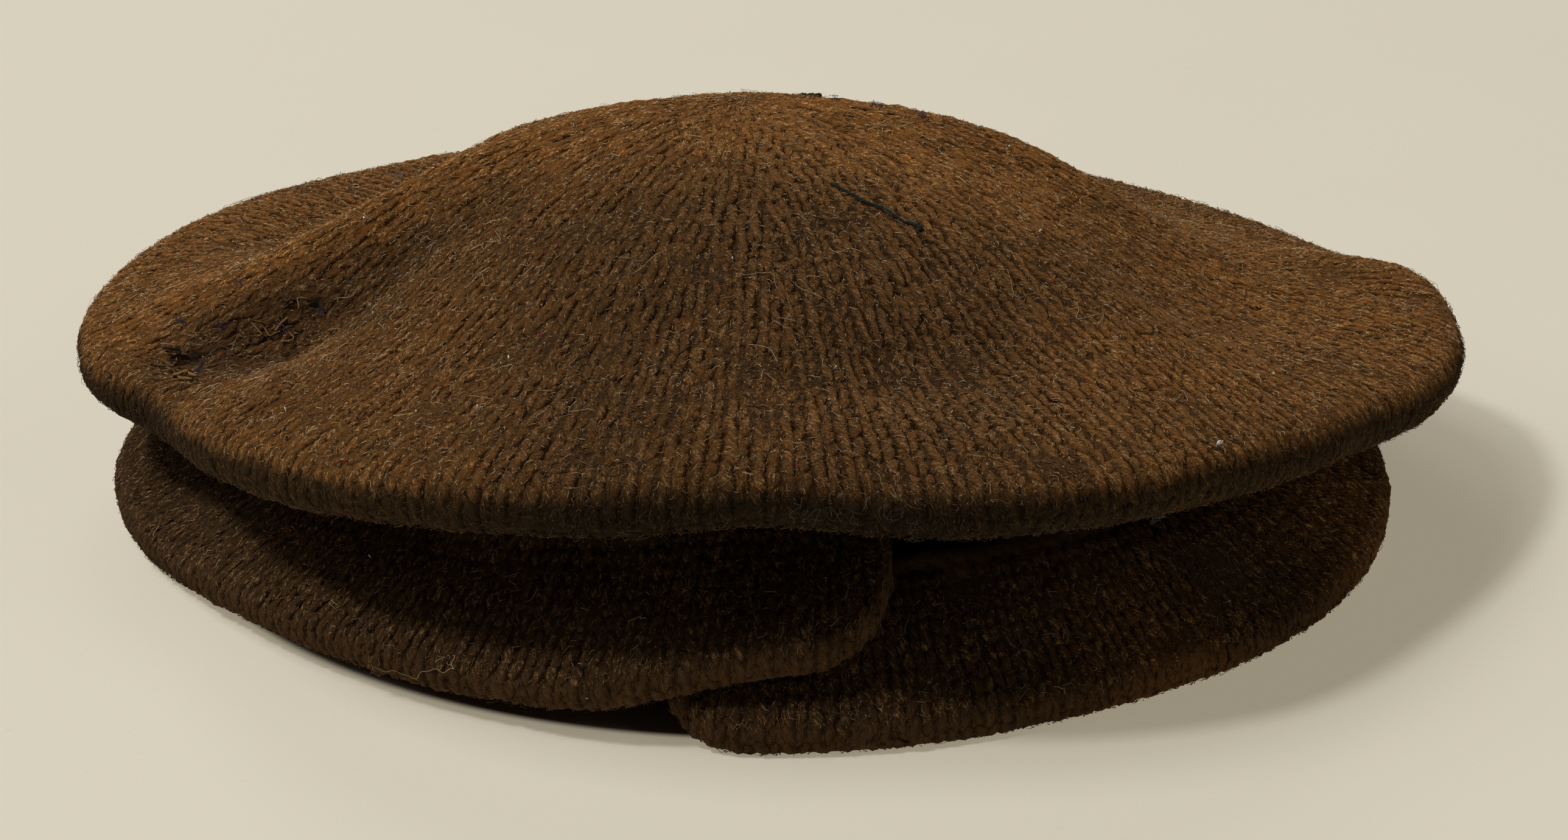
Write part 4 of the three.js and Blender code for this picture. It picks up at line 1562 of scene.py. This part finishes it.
def place_litter(crown_skin: Skin, brim_skin: Skin) -> None:
    """Puts the lint, the stray thread and the ragged yarns where the photograph shows them.

    Args:
        crown_skin: The crown's outer side.
        brim_skin: The brim's outer side.
    """
    blue, teal, nub, pale, white, red, yellow, curl = (
        FibreFinish(*colour.value, 0.75).material("lint_" + colour.name.lower()) for colour in LintColour
    )
    yarn = FibreFinish(WoolColour.DARK.value, WoolColour.NAP.value, 0.9).material("ragged_yarn")
    tufts = ((94.0, 0.098), (82.5, 0.143), (81.5, 0.193), (280.5, 0.628), (281.0, 0.716))
    tufts += ((288.0, 0.642), (289.5, 0.764), (290.0, 0.594), (287.0, 0.75), (284.5, 0.69))
    specks = ((355.5, 0.425), (332.0, 0.59), (313.5, 0.749), (333.5, 0.687), (327.5, 0.702), (282.5, 0.473))
    specks += ((17.5, 0.675), (7.5, 0.599), (6.0, 0.668), (55.0, 0.733), (80.5, 0.289), (49.0, 0.432))
    rim = ((3.5, 0.852), (5.0, 0.845), (8.0, 0.85), (10.5, 0.842), (22.0, 0.86), (31.0, 0.86))
    ragged = ((286.5, 0.647), (289.0, 0.642), (288.0, 0.7685), (286.0, 0.745), (285.0, 0.61), (290.0, 0.78))
    single, large, gold = ((225.5, 0.714),), ((38.0, 0.802),), ((70.0, 0.828),)
    curls = ((40.0, 0.563), (331.0, 0.377), (340.0, 0.597), (329.0, 0.828))
    sparks = ((326.0, 0.8), (333.5, 0.549), (2.5, 0.802))
    thread = ((18.5, 0.253), (22.0, 0.2816), (25.5, 0.3103), (27.5, 0.3365), (29.0, 0.3532), (30.0, 0.3652))
    knot = ((134.0, 0.118), (142.0, 0.12), (150.0, 0.119))
    hair = ((327.0, 0.8185), (329.0, 0.83), (331.5, 0.8185), (333.5, 0.77), (335.5, 0.757), (334.5, 0.70))
    ends, dots = ((29.3, 0.357), (27.0, 0.33)), ((319.5, 0.328), (347.5, 0.826))
    tuft = ((327.0, 0.8185), (334.0, 0.74))
    lay(
        crown_skin,
        "crown_knit",
        (Fuzz("crown_blue_tufts", 5, (0.8, 2.2), 0.3, 0.07, 0.9, 5, 41, 0.9, 0.8, tufts, 0.7), blue),
        (Fuzz("crown_pale_tuft", 9, (0.8, 2.4), 0.3, 0.06, 0.9, 5, 42, 9.0, 0.6, single, 0.9), pale),
        (Fuzz("crown_white_specks", 1, (0.5, 0.9), 0.1, 0.2, 1.0, 3, 43, 9.0, 0.3, specks), white),
        (Fuzz("crown_large_speck", 3, (0.9, 1.4), 0.2, 0.26, 1.0, 4, 44, 9.0, 0.3, large, 0.2), white),
        (Fuzz("crown_red_specks", 2, (0.6, 1.2), 0.3, 0.12, 0.9, 4, 45, 9.0, 1.0, sparks, 0.3), red),
        (Fuzz("crown_yellow_speck", 2, (0.7, 1.2), 0.2, 0.16, 1.0, 4, 46, 9.0, 0.4, gold, 0.2), yellow),
        (Fuzz("crown_rim_lint", 7, (0.9, 3.2), 0.25, 0.045, 1.0, 6, 47, 9.0, 0.8, rim, 1.6), pale),
        (Fuzz("crown_curly_hairs", 1, (4.0, 7.5), 0.3, 0.06, 1.0, 14, 48, 9.0, 0.5, curls), curl),
        (Fuzz("crown_ragged_yarn", 3, (3.0, 6.0), 0.2, 0.3, 1.3, 8, 49, 0.8, 1.0, ragged, 1.6), yarn),
        (Thread("crown_stray_thread", thread, 0.26, 0.5, 0.06, 0.32), teal),
        (Fuzz("crown_thread_ends", 7, (1.0, 2.4), 0.3, 0.05, 1.0, 5, 50, 9.0, 0.8, ends, 0.5), pale),
        (Thread("crown_skyline_nub", knot, 0.85, 0.35), nub),
    )
    lay(
        brim_skin,
        "brim_knit",
        (Thread("brim_long_hair", hair, 0.07, 0.5, 0.35), curl),
        (Fuzz("brim_hair_tuft", 10, (0.8, 2.2), 0.3, 0.06, 0.8, 5, 51, 9.0, 0.8, tuft, 0.8), curl),
        (Fuzz("brim_white_specks", 1, (0.5, 0.9), 0.1, 0.2, 1.0, 3, 52, 9.0, 0.3, dots), white),
    )


def main() -> None:
    """Builds the cap, the loose wool on it and the studio."""
    logging.basicConfig(level=logging.INFO, format="%(message)s")
    Studio().build()
    dark, body, warm, russet, tip, shaded, nap_colour, lint_colour = (colour.value for colour in WoolColour)
    yarn = YarnFinish(dark, body, warm, tip, shaded, 0.6).material("crown_yarn")
    edge_yarn = YarnFinish(dark, russet, russet, tip, russet, 0.0).material("brim_yarn")
    crown, brim = Crown(), Brim()
    crown_skin, brim_skin = crown.skin(), brim.skin()

    ground = crown.build_ground()
    carry(ground, FeltFinish(dark, body, shaded, crown.wales, 0.25).material("crown_felt"))
    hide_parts(crown.node)
    stitches = crown.build_stitches(crown_skin)
    for piece in stitches:
        carry(piece, yarn)
    LOG.info("crown: %d faces", len(ground.data.polygons))

    strip = brim.build_ground()
    carry(strip, FeltFinish(dark, russet, russet, brim.wales, 0.0).material("brim_felt"))
    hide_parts(brim.node)
    loops = brim.build_stitches(brim_skin)
    carry(loops, edge_yarn)
    LOG.info("brim: %d faces", len(strip.data.polygons))

    nap = FibreFinish(dark, nap_colour, 0.9, 0.4).material("wool_nap")
    edge_nap = FibreFinish(dark, nap_colour, 0.9).material("brim_nap")
    hair = FibreFinish(body, lint_colour, 0.8).material("loose_wool")
    top, edge = (0.0, 0.9), (0.2, 0.95)
    lay(
        crown_skin,
        "crown_knit",
        (Fuzz("crown_felted_nap", 24000, (1.0, 3.0), 0.1, 0.11, 0.3, 3, 34, 0.8, 0.8, shares=top), nap),
        (Fuzz("crown_light_nap", 33000, (0.9, 2.6), 0.14, 0.065, 0.5, 3, 36, 0.7, shares=top), hair),
        (Fuzz("crown_fuzz", 3600, (1.6, 5.5), 0.14, 0.045, 0.55, 4, 31, shares=top), hair),
        (Fuzz("crown_long_hairs", 230, (4.0, 10.0), 0.16, 0.045, 0.7, 9, 32, shares=(0.0, 0.85)), hair),
    )
    lay(
        brim_skin,
        "brim_knit",
        (Fuzz("brim_felted_nap", 9000, (1.0, 3.0), 0.1, 0.11, 0.3, 3, 35, 0.6, 0.8, shares=edge), edge_nap),
        (Fuzz("brim_light_nap", 5500, (0.8, 2.4), 0.12, 0.06, 0.5, 3, 37, 0.6, 2.0, shares=edge), hair),
        (Fuzz("brim_fuzz", 1400, (1.6, 5.0), 0.14, 0.045, 0.5, 4, 33, shares=(0.25, 0.95)), hair),
    )
    place_litter(crown_skin, brim_skin)


if __name__ == "__main__":
    main()
